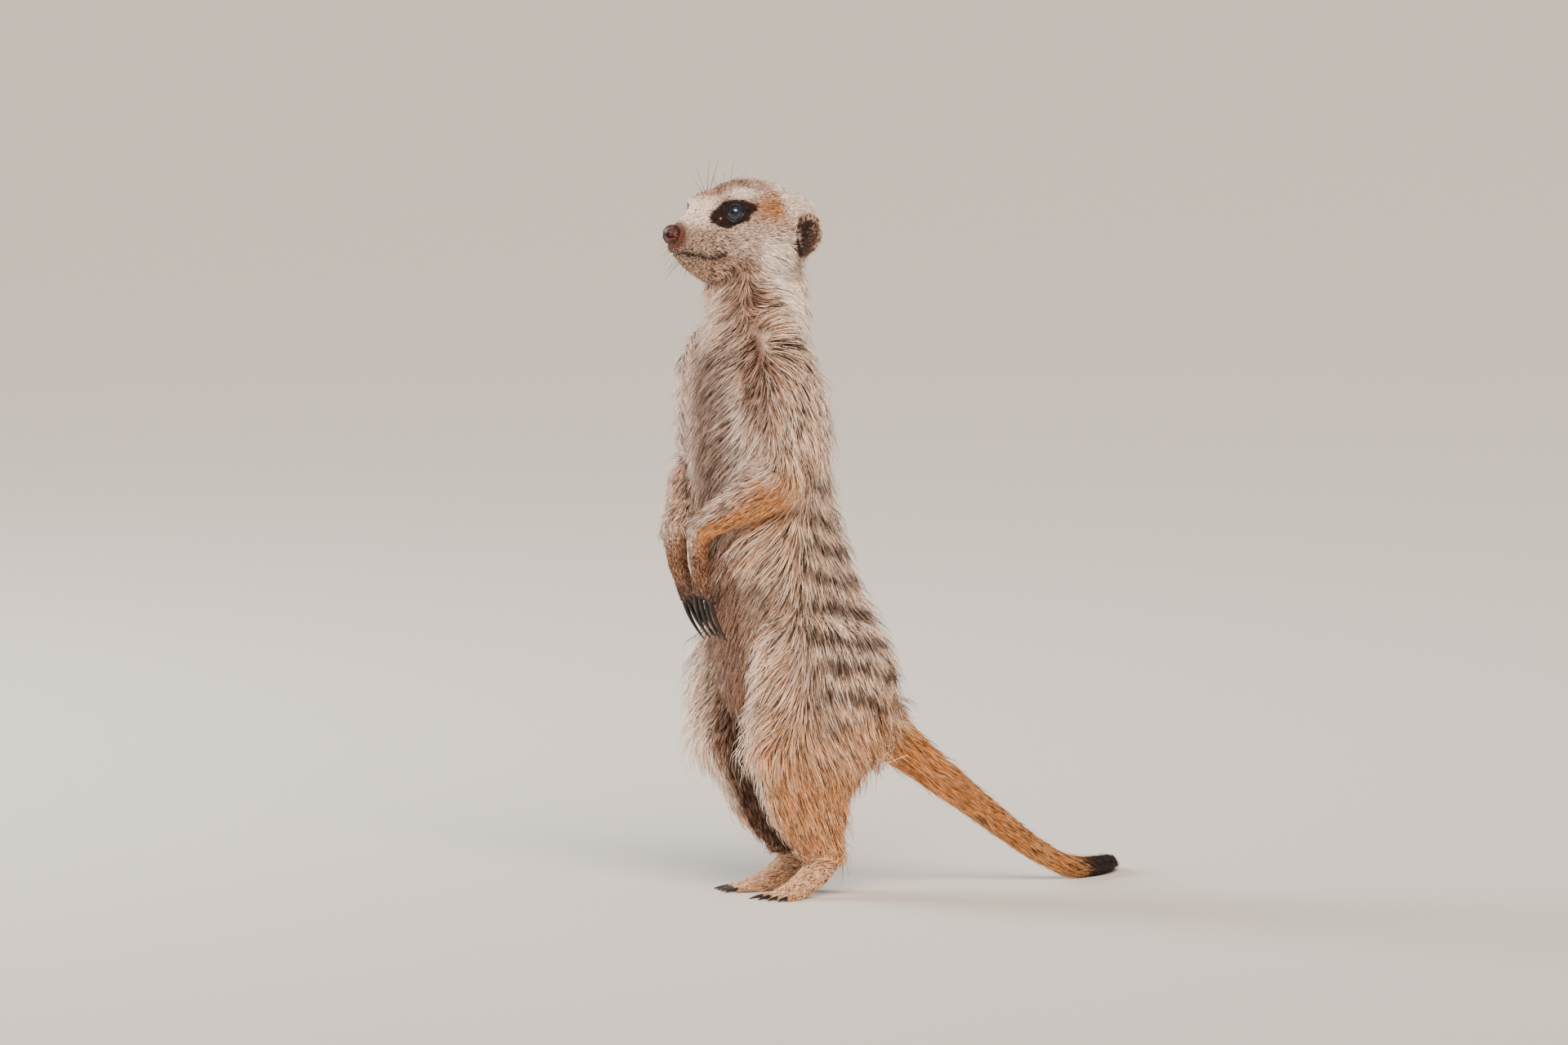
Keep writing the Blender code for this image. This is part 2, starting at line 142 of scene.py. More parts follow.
def apply_modifier(piece, kind, **settings):
    bpy.ops.object.select_all(action="DESELECT")
    bpy.context.view_layer.objects.active = piece
    piece.select_set(True)
    modifier = piece.modifiers.new(kind.lower(), kind)
    for name, value in settings.items():
        setattr(modifier, name, value)
    bpy.ops.object.modifier_apply(modifier=modifier.name)


def linked(name, mesh):
    piece = bpy.data.objects.new(name, mesh)
    bpy.context.scene.collection.objects.link(piece)
    return piece


def mesh_from(name, points, triangles):
    """A smooth mesh from places in millimetres."""
    mesh = bpy.data.meshes.new(name)
    mesh.vertices.add(len(points))
    mesh.vertices.foreach_set("co", in_frame(points).astype(np.float32).ravel())
    mesh.loops.add(triangles.size)
    mesh.loops.foreach_set("vertex_index", triangles.astype(np.int32).ravel())
    mesh.polygons.add(len(triangles))
    mesh.polygons.foreach_set("loop_start", np.arange(len(triangles), dtype=np.int32) * 3)
    mesh.update(calc_edges=True)
    mesh.shade_smooth()
    return mesh


def points_of(mesh):
    points = np.empty(len(mesh.vertices) * 3)
    mesh.vertices.foreach_get("co", points)
    return points.reshape(-1, 3) / MM + SHOULDERS


def triangles_of(mesh):
    mesh.calc_loop_triangles()
    triangles = np.empty(len(mesh.loop_triangles) * 3, dtype=np.int32)
    mesh.loop_triangles.foreach_get("vertices", triangles)
    return triangles.reshape(-1, 3)


def edges_of(mesh):
    edges = np.empty(len(mesh.edges) * 2, dtype=np.int32)
    mesh.edges.foreach_get("vertices", edges)
    return edges.reshape(-1, 2)


def set_points(mesh, points):
    mesh.vertices.foreach_set("co", in_frame(points).astype(np.float32).ravel())
    mesh.update()


def set_values(mesh, name, values):
    """An attribute of one number, or of three, at each vertex."""
    kind, field = ("FLOAT", "value") if values.ndim == 1 else ("FLOAT_VECTOR", "vector")
    made = mesh.attributes.new(name, kind, "POINT")
    made.data.foreach_set(field, values.astype(np.float32).ravel())


def normals_of(points, triangles):
    corners = points[triangles]
    faces = np.cross(corners[:, 1] - corners[:, 0], corners[:, 2] - corners[:, 0])
    total = np.empty_like(points)
    for axis in range(3):
        weights = np.repeat(faces[:, axis], 3)
        total[:, axis] = np.bincount(triangles.ravel(), weights=weights, minlength=len(points))
    return unit(total)


def spread(values, edges, rounds, share=0.5):
    """The values, each moved towards the mean of its neighbours, this many times."""
    columns = values.reshape(len(values), -1).astype(float)
    count = np.maximum(np.bincount(edges.ravel(), minlength=len(values)), 1)
    first, second = edges.T
    for _ in range(rounds):
        for column in columns.T:
            total = np.bincount(first, weights=column[second], minlength=len(values))
            total += np.bincount(second, weights=column[first], minlength=len(values))
            column += share * (total / count - column)
    return columns.reshape(values.shape)


# ---------------------------------------------------------------- the skin's own shape


def fuse_flesh():
    """The flesh solids, fused into one closed skin, finest at the head, hands and feet."""
    shape = bmesh.new()
    for name in FLESH + FILLERS:
        shape.from_mesh(frame["nodes"][name].data)
    bmesh.ops.remove_doubles(shape, verts=shape.verts, dist=0.01 * MM)
    shape.normal_update()
    for vert in shape.verts:
        vert.co += vert.normal * SWELL * MM
    mesh = bpy.data.meshes.new("skin")
    shape.to_mesh(mesh)
    shape.free()
    skin = linked("skin", mesh)
    apply_modifier(skin, "REMESH", mode="VOXEL", voxel_size=FUSE_STEP * MM)
    apply_modifier(skin, "SMOOTH", factor=0.5, iterations=5)
    points = points_of(skin.data)
    fine = points[:, 2] > node_box("head")[0][2] - 1
    for name in ("hand", "foot"):
        for side in SIDES:
            low, high = node_box(f"{name}_{side}")
            fine |= ((points > low - 3) & (points < high + 3)).all(axis=1)
    coarse = skin.vertex_groups.new(name="coarse")
    coarse.add(np.flatnonzero(~fine).tolist(), 1, "REPLACE")
    thinned = {"vertex_group": "coarse", "vertex_group_factor": 10, "use_collapse_triangulate": True}
    apply_modifier(skin, "DECIMATE", ratio=SKIN_FACES / (2 * len(skin.data.polygons)), **thinned)
    skin.vertex_groups.clear()
    return skin


def part_of_each(points):
    """For each point, the name of the flesh node that it belongs to."""
    corners, faces, owners = [], [], []
    for name in FLESH:
        mesh = frame["nodes"][name].data
        triangles = triangles_of(mesh)
        faces.append(triangles + sum(map(len, corners)))
        corners.append(points_of(mesh))
        owners += [name] * len(triangles)
    tree = BVHTree.FromPolygons(np.concatenate(corners).tolist(), np.concatenate(faces).tolist())
    return np.array([owners[tree.find_nearest(place)[2]] for place in points.tolist()])


# Each part's coat: depth from the skin to the tips, and a lock's length and width, in mm; the shares
# of pale, tan and dark hair, and of solid blackish brown; and the way it lies, on the left side.
PARTS = {
    "head": ((1.5, 3.0, 0.22), (0.74, 0.20, 0.07, 0.0), (0, 1, 0)),
    "neck": ((3.2, 9.5, 0.34), (0.70, 0.38, 0.18, 0.0), (0, 0.15, -1)),
    "trunk": ((4.4, 14.0, 0.40), (0.92, 0.32, 0.20, 0.0), (0, 0.05, -1)),
    "upper_arm": ((3.4, 11.0, 0.37), (0.96, 0.34, 0.16, 0.0), (0, 0.1, -1)),
    "forearm": ((1.7, 5.8, 0.29), (0.70, 0.62, 0.18, 0.0), (-0.45, -0.75, -0.55)),
    "hand": ((0.7, 2.4, 0.22), (0.36, 0.70, 0.22, 0.0), (-0.15, 0.3, -1)),
    "thigh": ((4.2, 14.0, 0.40), (0.84, 0.46, 0.15, 0.0), (0, 0.1, -1)),
    "shank": ((2.6, 10.5, 0.36), (0.74, 0.90, 0.06, 0.0), (-0.2, 0.35, -1)),
    "foot": ((0.7, 3.0, 0.23), (0.80, 0.75, 0.08, 0.0), (0.2, -1, -0.12)),
    "tail_base": ((2.2, 10.5, 0.33), (0.66, 1.20, 0.06, 0.0), (0, 0.8, -0.6)),
    "tail_middle": ((1.5, 8.0, 0.29), (0.66, 1.25, 0.06, 0.0), (0, 0.8, -0.57)),
    "tail_tip": ((1.4, 6.0, 0.27), (0.50, 1.00, 0.15, 0.0), (-0.15, 0.9, -0.3)),
    "ear": ((0.5, 1.7, 0.20), (0.35, 0.20, 0.30, 0.15), (0.5, 0.3, 0.6)),
}

# Parts that carry some of the coat's changes together.
TORSO = ("trunk", "neck", "upper_arm")
HIPS = ("trunk", "thigh")
LEG = ("thigh", "shank")
CHEST = ("trunk", "neck")
FACE = ("head", "neck")
TAIL = ("tail_base", "tail_middle", "tail_tip")
LOWER_ARM = ("forearm", "hand")

MARKS = ("pale", "tan", "dark", "mask", "bare")  # what each root carries, and the skin too

# The face's landmarks, on the left side.
EYE_AXIS = unit(np.array((0.86, -0.50, 0.10)))
EYE_BACK = unit(np.array((0.50, 0.86, 0.06)))  # along the lids, towards the ear
EYE_UP = unit(np.cross(EYE_BACK, -EYE_AXIS))
OPENING = (4.6, 3.8)  # mm, half the length and half the height between the lids
LID = 0.45  # mm that the lids lie over the eyeball
LID_TILT = 0.1  # rise of the opening towards the ear
RIM_SIDES, RIM_RADIUS = 10, 0.27  # of the round cord at the lids' edge, in mm
MOUTH = np.array(
    ((0, -54.4, 273.6), (5, -51.2, 273.0), (8.2, -44.8, 271.6), (12, -39.2, 271.4), (14.6, -35.4, 272.6))
)
EYE_CORNER = np.array((13.9, -39.4, 287.9))  # the inner one
WHORL = np.array((29, -29.5, 230.5))  # on the shoulder, where the coat parts
NOSE_TIP = np.array((0, -58, 281))
NOSE_MIDDLE = node_middle("nose")
NOSE_HALF = (node_box("nose")[1] - node_box("nose")[0]) / 2
EAR_ROOT = np.array((17, -3, 277))
EAR_MIDDLE = node_middle("ear_left")
EYE_MIDDLE = node_middle("eye_left")
EYE_RADIUS = (node_box("eye_left")[1] - node_box("eye_left")[0]).mean() / 2
BAND_STEP = 12.6  # mm between the dark bands of the back


def kind_of(name):
    """A part's name without its side."""
    return name.replace("_left", "").replace("_right", "")


def as_left(points):
    """The points, each as on the left side."""
    return np.column_stack((np.abs(points[:, 0]), points[:, 1:]))


class Hide:
    """The skin's points with all that the coat needs to know at each of them."""

    def __init__(self, skin):
        self.mesh = skin.data
        self.points = points_of(self.mesh)
        self.triangles = triangles_of(self.mesh)
        self.edges = edges_of(self.mesh)
        self.normals = normals_of(self.points, self.triangles)
        self.part = part_of_each(self.points)
        self.kind = np.array([kind_of(name) for name in self.part])
        self.side = np.where(self.points[:, 0] < 0, -1.0, 1.0)
        self.left = as_left(self.points)
        self.outward = self.normals.copy()
        self.outward[:, 0] *= self.side
        rows = zip(*(PARTS[kind] for kind in self.kind))
        coat, marks, self.lie = (np.array(row, dtype=float) for row in rows)
        self.depth, self.length, self.width = coat.T.copy()
        self.pale, self.tan, self.dark, self.mask = marks.T.copy()
        self.bare = np.zeros(len(self.points))
        self.stray = np.full(len(self.points), 0.12)  # the share of locks that stand off the coat
        self.lift = np.ones(len(self.points))  # how far the hairs stand out, against the coat's depth
        noise = np.random.default_rng(SEED).normal(size=(len(self.points), 2))
        self.blotch, self.ruffle = spread(noise, self.edges, 30)[:, 0], spread(noise, self.edges, 5)[:, 1]
        self.blotch /= self.blotch.std()
        self.ruffle /= self.ruffle.std()

    def is_part(self, *kinds):
        return np.isin(self.kind, kinds).astype(float)

    def blend(self, share, **wanted):
        """Moves the named values towards the wanted ones, by a share in each place."""
        for name, value in wanted.items():
            values = getattr(self, name)
            values += (value - values) * share

    def paint(self, share, pale, tan, dark):
        self.blend(share, pale=pale, tan=tan, dark=dark)

    def settle(self):
        """Works out again what follows from the points."""
        self.left = as_left(self.points)
        self.normals = normals_of(self.points, self.triangles)


def eye_place(places):
    """Distance from the eye's centre, and millimetres along and up the eyeball, on the left side."""
    apart = places - EYE_MIDDLE
    distance = np.linalg.norm(apart, axis=1)
    heading = apart / np.maximum(distance, 0.01)[:, None]
    along = np.arctan2(heading @ EYE_BACK, np.maximum(heading @ EYE_AXIS, 0.05)) * EYE_RADIUS
    up = np.arctan2(heading @ EYE_UP, np.maximum(heading @ EYE_AXIS, 0.05)) * EYE_RADIUS
    return distance, heading, along, up


def lid_height(share):
    """Half the height between the lids, at a share of their half length."""
    return OPENING[1] * (1 - np.abs(share) ** 2.2) ** 0.9


def lid_gap(along, up):
    """Millimetres outside the almond between the lids, and less than 0 inside it."""
    edge = lid_height(np.clip(along / OPENING[0], -1, 1))
    over = np.maximum(np.abs(along) - OPENING[0], 0)
    return np.where(over > 0, np.hypot(over, up), np.abs(up - LID_TILT * along) - edge)


def mark_coat(hide):
    """How long, deep and upright the coat is in each place."""
    left, out = hide.left, hide.outward
    y, z = left[:, 1], left[:, 2]
    head = hide.is_part("head")
    muzzle = head * step(y, -36, -44)
    hide.blend(muzzle, length=1.5, width=0.2, depth=0.6)
    eye_ring = head * around(left, EYE_MIDDLE + EYE_AXIS * 4, (9, 9, 7.5))
    hide.blend(np.minimum(eye_ring * 1.5, 1), length=1.2, width=0.18, depth=0.5)
    cheek = head * step(y, -30, -20) * step(z, 284, 276)
    hide.blend(cheek, length=7.0, width=0.26, depth=2.2)
    hide.blend(cheek * step(z, 274, 268), lift=1.5)
    back_of_head = head * step(y, -4, 6)
    hide.blend(back_of_head, length=5.0)
    before_ear = head * around(left, (20, -8, 281), (6, 4, 8))
    hide.blend(before_ear, length=5.0, lift=1.5)
    belly = hide.is_part("trunk") * step(y, -6, -18) * step(z, 150, 135)
    hide.blend(belly, length=7, width=0.28, depth=2.0, bare=0.45)
    inner = hide.is_part(*LEG) * step(out[:, 0], -0.3, -0.8)
    hide.blend(inner, length=7, width=0.28, depth=2.4)
    chest = hide.is_part(*CHEST) * step(y, -24, -34)
    hide.blend(chest * step(z, 150, 165), length=8.5, width=0.25, depth=4.0)
    hide.blend(chest, stray=0.35, lift=1.25)
    arm_edge = hide.is_part("upper_arm", "forearm") * step(out[:, 1], -0.2, -0.7)
    hide.blend(arm_edge, stray=0.3, lift=1.3)
    fringe = hide.is_part(*HIPS) * step(z, 175, 160) * step(y, 0, -14)
    hide.blend(fringe, stray=0.45)
    hide.blend(fringe * step(out[:, 1], -0.1, -0.6), lift=1.7)
    calf = hide.is_part(*LEG) * step(out[:, 1], 0.1, 0.6) * step(z, 74, 56)
    hide.blend(calf, lift=1.7)
    rump = hide.is_part(*HIPS) * step(z, 92, 78) * step(y, 22, 32)
    hide.blend(rump, lift=1.7, length=17, stray=0.35)
    paw = hide.is_part(*LOWER_ARM) * step(z, 166, 156) * (hide.side > 0)
    hide.blend(paw, depth=1.0, lift=0.6)
    nape = hide.is_part(*CHEST) * step(y, 0, 8) * step(z, 215, 230)
    hide.blend(nape, length=8, lift=1.3)
    hide.blend(hide.is_part("hand", "foot", "head"), stray=0.06)
    hide.blend(hide.is_part(*TAIL), stray=0.08)
    sole = step(z, 2.2, 0.8) * step(out[:, 2], -0.5, -0.8)
    hide.depth *= 1 - sole
    hide.blend(sole, length=0.8)


def banding(places):
    """1 on the dark bands across the back and 0 between them, at any place on the coat."""
    x, y, z = places.T
    back = step(y, -19, 0) * step(z, 184, 170) * step(z, 66, 82)
    ragged = 1.6 * np.sin(0.9 * x + 0.05 * z) + 1.1 * np.sin(2.3 * x - 0.4 * y)
    wave = 0.5 + 0.5 * np.cos(2 * np.pi * (z + 0.14 * y + ragged - 9.5) / BAND_STEP)
    unbroken = step(np.sin(0.31 * y + 0.8 * z) + np.sin(0.23 * x - 0.52 * z), -1.8, -0.9)
    return back * unbroken * step(wave, 0.33, 0.72)


def mark_colours(hide):
    """Where the coat is pale, tan, dark and blackish, with painted shade and painted rim light in some
    places.

    A hair shows beyond its root, so each root is marked as the place that its hair covers.
    """
    reach = hide.lie * (hide.length * 0.5)[:, None]
    reach[:, 0] *= hide.side
    left, out = hide.left + reach, hide.outward
    x, y, z = left.T
    paint = hide.paint
    # the chest's front painted darker: partly its own grey-brown, partly painted shade
    front = hide.is_part(*TORSO) * step(y, -22, -32) * step(z, 150, 170)
    paint(front, 0.3, 0.04, 0.26)
    right = 4.0 * (hide.side < 0)  # mm that the painted rim light is nearer to the middle there
    # painted rim light: the chest's outline painted pale, where backlit hairs glow
    edge = hide.is_part(*CHEST) * step(x, 14 - right, 19 - right) * step(y, -28, -32)
    edge *= step(z, 150, 170)
    paint(edge, 1.1, -0.05, 0.06)
    # painted rim light: the upper arms' front painted pale, at every height on the far arm
    arm_front_rim_light = hide.is_part("upper_arm") * step(out[:, 1], -0.4, -0.8)
    arm_front_rim_light *= np.maximum(step(z, 214, 200), hide.side < 0)
    paint(arm_front_rim_light, 0.95, 0.1, 0.12)
    parting = hide.is_part(*TORSO) * around(hide.left, WHORL - (0, 0, 4), (6, 6, 6))
    paint(np.minimum(parting * 1.5, 1), 0.36, 0.35, 0.26)
    # the belly painted darker: partly its own sparse coat over dark skin, partly painted shade behind the
    # hands
    belly = hide.is_part("trunk") * step(y, -8, -20) * step(z, 165, 150)
    paint(belly, 0.5, 0.45, 0.3)
    # the legs' inner side painted darker: partly its own brown-grey, partly painted shade between the legs
    inner = hide.is_part(*LEG) * step(out[:, 0], 0.1, -0.6)
    paint(inner, 0.12, 0.35, 0.5)
    # painted rim light: the legs' front edge painted pale, where backlit hairs glow
    leg_front_rim_light = hide.is_part(*LEG) * step(out[:, 1], -0.55, -0.85)
    paint(leg_front_rim_light, 1.1, 0.15, 0.04)
    flank = hide.is_part(*HIPS) * step(y, 2, -12) * step(out[:, 0], 0.2, 0.6) * step(z, 175, 160)
    paint(flank, 0.97, 0.42, 0.16)
    behind = hide.is_part("trunk", "thigh", "upper_arm")
    back = step(y, -17, 2) * step(z, 198, 178) * step(z, 66, 82)
    paint(back * behind, 0.98, 0.3, 0.12)
    upper_back = hide.is_part(*TORSO) * step(y, -12, 2) * step(z, 192, 206)
    paint(upper_back, 1.0, 0.3, 0.24)
    rump = hide.is_part(*HIPS) * step(z, 98, 66) * step(y, 6, 28)
    paint(rump, 0.92, 0.72, 0.1)
    knee = hide.is_part(*LEG) * step(z, 104, 40) * step(out[:, 0], 0, 0.4)
    paint(knee * 0.9, 0.82, 0.9, 0.06)
    tail = hide.is_part(*TAIL)
    hide.blend(tail * step(out[:, 2], 0.45, 0.85), dark=0.38)
    forearm = hide.is_part(*LOWER_ARM)
    not_front = step(out[:, 1], -0.9, -0.55)
    under = forearm * step(out[:, 2], 0.2, -0.5) * step(out[:, 0], -0.3, 0.1)
    paint(under * not_front, 0.64, 1.1, 0.06)
    inner_forearm = forearm * step(out[:, 0], 0.2, -0.4)
    paint(inner_forearm, 0.7, 0.3, 0.2)
    upper_forearm = forearm * step(out[:, 2], 0.3, 0.75)
    paint(upper_forearm, 0.7, 0.4, 0.3)
    front_forearm = forearm * (1 - not_front) * step(z, 140, 150)
    paint(front_forearm, 0.85, 0.12, 0.22)
    inner_arm = hide.is_part("upper_arm") * step(out[:, 0], 0.0, -0.5)
    paint(inner_arm, 0.6, 0.2, 0.25)
    elbow = around(left, (34, -24, 174), (13, 16, 13)) * hide.is_part("upper_arm", "forearm", "trunk")
    paint(elbow * not_front, 0.74, 1.12, 0.06)
    palm = hide.is_part("hand") * step(out[:, 1], -0.3, 0.4) * step(z, 134, 138)
    paint(palm, 0.5, 0.9, 0.05)
    hide.blend(palm, bare=0.8)
    lower_hand = hide.is_part("hand") * step(z, 158, 142)
    paint(lower_hand * 0.8, 0.18, 0.6, 0.3)
    digits = hide.is_part("hand") * step(z, 134, 127)
    paint(digits, 0.1, 0.3, 0.4)
    hide.blend(digits, mask=0.3)
    tail_end = hide.is_part("tail_tip") * step(y, 142, 156)
    hide.blend(tail_end, mask=1.0)
    side_of_neck = hide.is_part("neck") * step(z, 234, 242) * step(out[:, 0], 0.2, 0.6)
    paint(side_of_neck * step(y, -28, -22), 0.56, 0.6, 0.14)
    paint(side_of_neck * step(y, -18, -9), 1.7, 0.12, 0.0)
    nape = hide.is_part("neck") * step(y, -4, 4) * step(z, 225, 235)
    paint(nape, 1.35, 0.22, 0.08)
    mark_face(hide, left)
    for values in (hide.pale, hide.tan, hide.dark):
        values += 0.05 * hide.blotch


def mark_face(hide, left):
    """The face's markings, with the eye patches, the mouth line and the ears, and painted shade under the
    jaw and below the nose.
    """
    out, paint = hide.outward, hide.paint
    y, z = left[:, 1], left[:, 2]
    head = hide.is_part("head")

    def near(place, reach, strength=1.5):
        return head * np.minimum(around(left, place, reach) * strength, 1)

    forehead = head * step(out[:, 2], 0.2, 0.7) * step(y, -14, -24)
    paint(forehead, 0.3, 0.26, 0.22)
    bridge = head * step(z, 281, 285) * step(y, -35, -43) * step(out[:, 2], -0.1, 0.3)
    paint(bridge, 1.05, 0.12, 0.03)
    muzzle = head * step(y, -32, -40) * step(z, 286, 282)
    paint(muzzle, 0.52, -0.1, 0.07)
    behind_eye = near((20.5, -18, 293), (8.5, 9, 10.5), 1.3)
    paint(behind_eye, 0.55, 0.86, 0.07)
    crown_side = head * step(z, 284, 290) * step(y, -15, -9) * step(out[:, 0], -0.1, 0.2)
    paint(crown_side, 1.35, 0.1, 0.02)
    brow = near((13.5, -28, 298.8), (8, 9, 3.2))
    paint(brow, 1.3, 0.02, 0.02)
    under_eye = near((20, -26, 279), (9, 9, 6))
    paint(under_eye, 0.76, -0.15, 0.12)
    cheek = hide.is_part(*FACE) * around(left, (21, -14.5, 269), (9, 9, 12))
    white = np.minimum(cheek * 1.9, 1)
    ruff = hide.is_part(*FACE) * around(left, (19, -5, 267), (6, 6, 8))
    paint(np.minimum(ruff * 1.6, 1), 1.1, 0.7, 0.03)
    paint(white * step(y, -4, -8), 1.6, -0.25, 0.0)
    # under the jaw painted darker: partly its own tan, partly painted shade
    jaw_tan_and_painted_shade = hide.is_part(*FACE) * step(z, 272, 268) * step(z, 246, 256) * step(y, -20, -27)
    paint(jaw_tan_and_painted_shade, 0.58, 0.36, 0.2)
    throat = hide.is_part(*FACE) * step(z, 268, 262) * step(out[:, 1], -0.5, -0.85)
    paint(throat, 0.95, 0.25, 0.03)
    from_mouth = distance_to_line(left, MOUTH)
    lips = head * step(from_mouth, 2.6, 1.0) * step(y, -28, -36)
    hide.blend(lips, dark=0.55, pale=0.4)
    mouth_line = head * step(from_mouth, 1.4, 0.5) * step(y, -30, -38)
    hide.blend(mouth_line, mask=0.5)
    from_nose = np.linalg.norm((left - NOSE_MIDDLE) / NOSE_HALF, axis=1)
    sandy = head * step(from_nose, 2.0, 1.55) * step(z, 272, 275)
    hide.blend(sandy, bare=1.0, mask=0.24)
    # blackish below the nose: partly its own dark skin, partly painted shade under the nose pad
    under_nose_skin_and_shade = head * step(from_nose, 1.75, 1.4) * step(z, 281, 279)
    hide.blend(under_nose_skin_and_shade, mask=0.45)
    apart = left - EYE_MIDDLE
    along, up = apart @ EYE_BACK, apart @ EYE_UP
    near_eye = step(apart @ EYE_AXIS, -6, -3) * head
    right_front = 2.3 * (hide.side < 0) * step(along, -3, -8)  # the right patch reaches nearer to the bridge
    patch = np.hypot((along + 1.4 + right_front) / 9.9, (up - 0.06 * along) / 6.1)
    back_end = np.hypot((along - 6.0) / 3.8, (up - 1.6) / 2.4)
    lobe = np.hypot((along + 2.8) / 5.6, (up + 1.9) / 4.2)
    spot = -np.log(np.exp(-9 * patch) + np.exp(-9 * back_end) + np.exp(-9 * lobe)) / 9 + 0.04
    hide.blend(near_eye * step(spot + 0.02 * hide.ruffle, 1.07, 0.95), mask=1.0)
    ear = hide.is_part("ear")
    inside = ear * step(out[:, 0], 0.0, 0.5)
    back_way, up_way = (y - EAR_MIDDLE[1]) / 6.6, (z - EAR_MIDDLE[2]) / 9.6
    rim = np.hypot(back_way + 0.35 * np.maximum(-up_way, 0), up_way)
    paint(inside, 0.12, 0.2, 0.1)
    hide.blend(inside, mask=0.42)
    hollow = inside * step(back_way - 0.5 * up_way, 0.1, -0.35)
    hide.blend(hollow, mask=0.85)
    rib = hollow * step(np.abs(back_way + 0.42), 0.14, 0.05) * step(up_way, -0.4, -0.1)
    hide.blend(rib, mask=0.45)
    grizzled = ear * step(rim, 0.55, 0.75) * step(back_way + 0.6 * up_way, -0.3, 0.2)
    hide.blend(grizzled, mask=0.0)
    paint(grizzled, 0.62, 0.2, 0.4)
    hide.blend(grizzled, length=2.4, lift=2.0)


def comb_coat(hide):
    """The way the coat lies, on the skin's surface."""
    left = hide.left
    x, y, z = left.T
    lie = unit(hide.lie)
    head = hide.is_part("head")

    def turn(share, way):
        lie[:] = lie + share[:, None] * (np.asarray(way, dtype=float) - lie)

    turn(head, unit(left - NOSE_TIP))
    back_of_head = head * step(y, -14, 2)
    turn(back_of_head * 0.85, (0, 0.25, -1))
    cheek = head * step(y, -36, -22) * step(z, 284, 274)
    turn(cheek * 0.6, (0.15, 0.75, -0.65))
    turn(hide.is_part("ear"), unit(left - EAR_ROOT))
    throat = hide.is_part("neck") * step(y, -10, -24)
    turn(throat, (0, -0.1, -1))

    torso = hide.is_part(*TORSO)
    side_of_neck = torso * step(z, 268, 260) * step(z, 230, 238) * step(x, 4, 10)
    turn(side_of_neck * step(y, -30, -22), (0.1, 1, 0.15))
    turn(side_of_neck * step(y, -20, -12), (0, 1, -0.45))
    turn(side_of_neck * step(y, -10, -1), (0, 0.35, -1))
    turn(side_of_neck * step(y, -25, -30), (-0.4, -0.5, -0.9))
    apart = left - WHORL
    distance = np.linalg.norm(apart, axis=1)
    above = torso * step(z, WHORL[2] - 4, WHORL[2] + 4) * step(distance, 34, 16)
    turn(above * step(y, WHORL[1] - 4, WHORL[1] + 4), (0.1, 1, -0.25))
    turn(above * step(y, WHORL[1] + 4, WHORL[1] - 4), (-0.8, -0.6, -0.3))
    fan = unit(apart) + np.array((0, 0, -0.35))
    turn(torso * step(distance, 22, 8) * step(z, WHORL[2] + 8, WHORL[2] - 2), fan)
    chest = torso * step(y, -27, -34) * step(z, 168, 184) * step(x, 2, 8)
    turn(chest * 0.8, (-0.55, -0.5, -0.75))
    back = torso * step(y, -14, 2) * step(z, 232, 210)
    turn(back * 0.5, (0, 0.3, -1))

    hips = hide.is_part(*HIPS)
    flank = hips * step(z, 176, 166) * step(y, -6, -22)
    turn(flank, (0.05, -0.7, -0.75))
    lower_back = hips * step(y, 18, 34) * step(z, 190, 170)
    turn(lower_back, (0, 0.35, -1))
    rump = hips * step(z, 92, 72) * step(y, 20, 32)
    turn(rump, (0, 0.75, -0.7))
    lower_leg = hide.is_part(*LEG) * step(z, 84, 62) * step(y, -24, -8)
    turn(lower_leg, (0, 0.45, -1))

    lie[:, 0] *= hide.side
    chance = np.random.default_rng(SEED + 1)
    waves = spread(chance.normal(size=lie.shape), hide.edges, 14)
    waves /= waves.std()
    sway = np.clip(hide.length / 12, 0.3, 1) * 0.07
    lie = spread(flat_to(lie, hide.normals), hide.edges, 24)
    hide.lie = flat_to(unit(lie) + waves * sway[:, None], hide.normals)


def shape_eyes(hide):
    """The lids: the skin lies over the eyeball, rolls in at the lids' edge and stands in a soft fold."""
    left = hide.left
    distance, heading, along, up = eye_place(left)
    gap = lid_gap(along, up)
    facing = heading @ EYE_AXIS
    reach = step(distance, 13.5, 9.5) * step(facing, 0.15, 0.45)
    rim = 0.28 * np.exp(-(((gap - 0.55) / 0.5) ** 2))
    over = EYE_RADIUS + LID + rim
    fold = -0.35 * np.exp(-(((gap - 2.6) / 0.5) ** 2)) * step(up, -1, 1)
    natural = np.maximum(distance, EYE_RADIUS + 0.2)
    wanted = over + (natural + fold - over) * step(gap, 1.0, 5.0)
    inside = over + (EYE_RADIUS - 1.6 - over) * step(gap, 0.12, -0.55)
    wanted = np.where(gap < 0.12, inside, wanted)
    moved = EYE_MIDDLE + heading * (distance + (wanted - distance) * reach)[:, None]
    moved[:, 0] *= hide.side
    shown = reach > 0
    hide.points[shown] = moved[shown]


def shape_mouth(hide):
    """The groove between the lips."""
    away = distance_to_line(hide.left, MOUTH)
    groove = 0.8 * np.exp(-((away / 0.55) ** 2)) - 0.22 * np.exp(-(((away - 1.4) / 0.7) ** 2))
    hide.points -= hide.normals * (groove * hide.is_part("head"))[:, None]


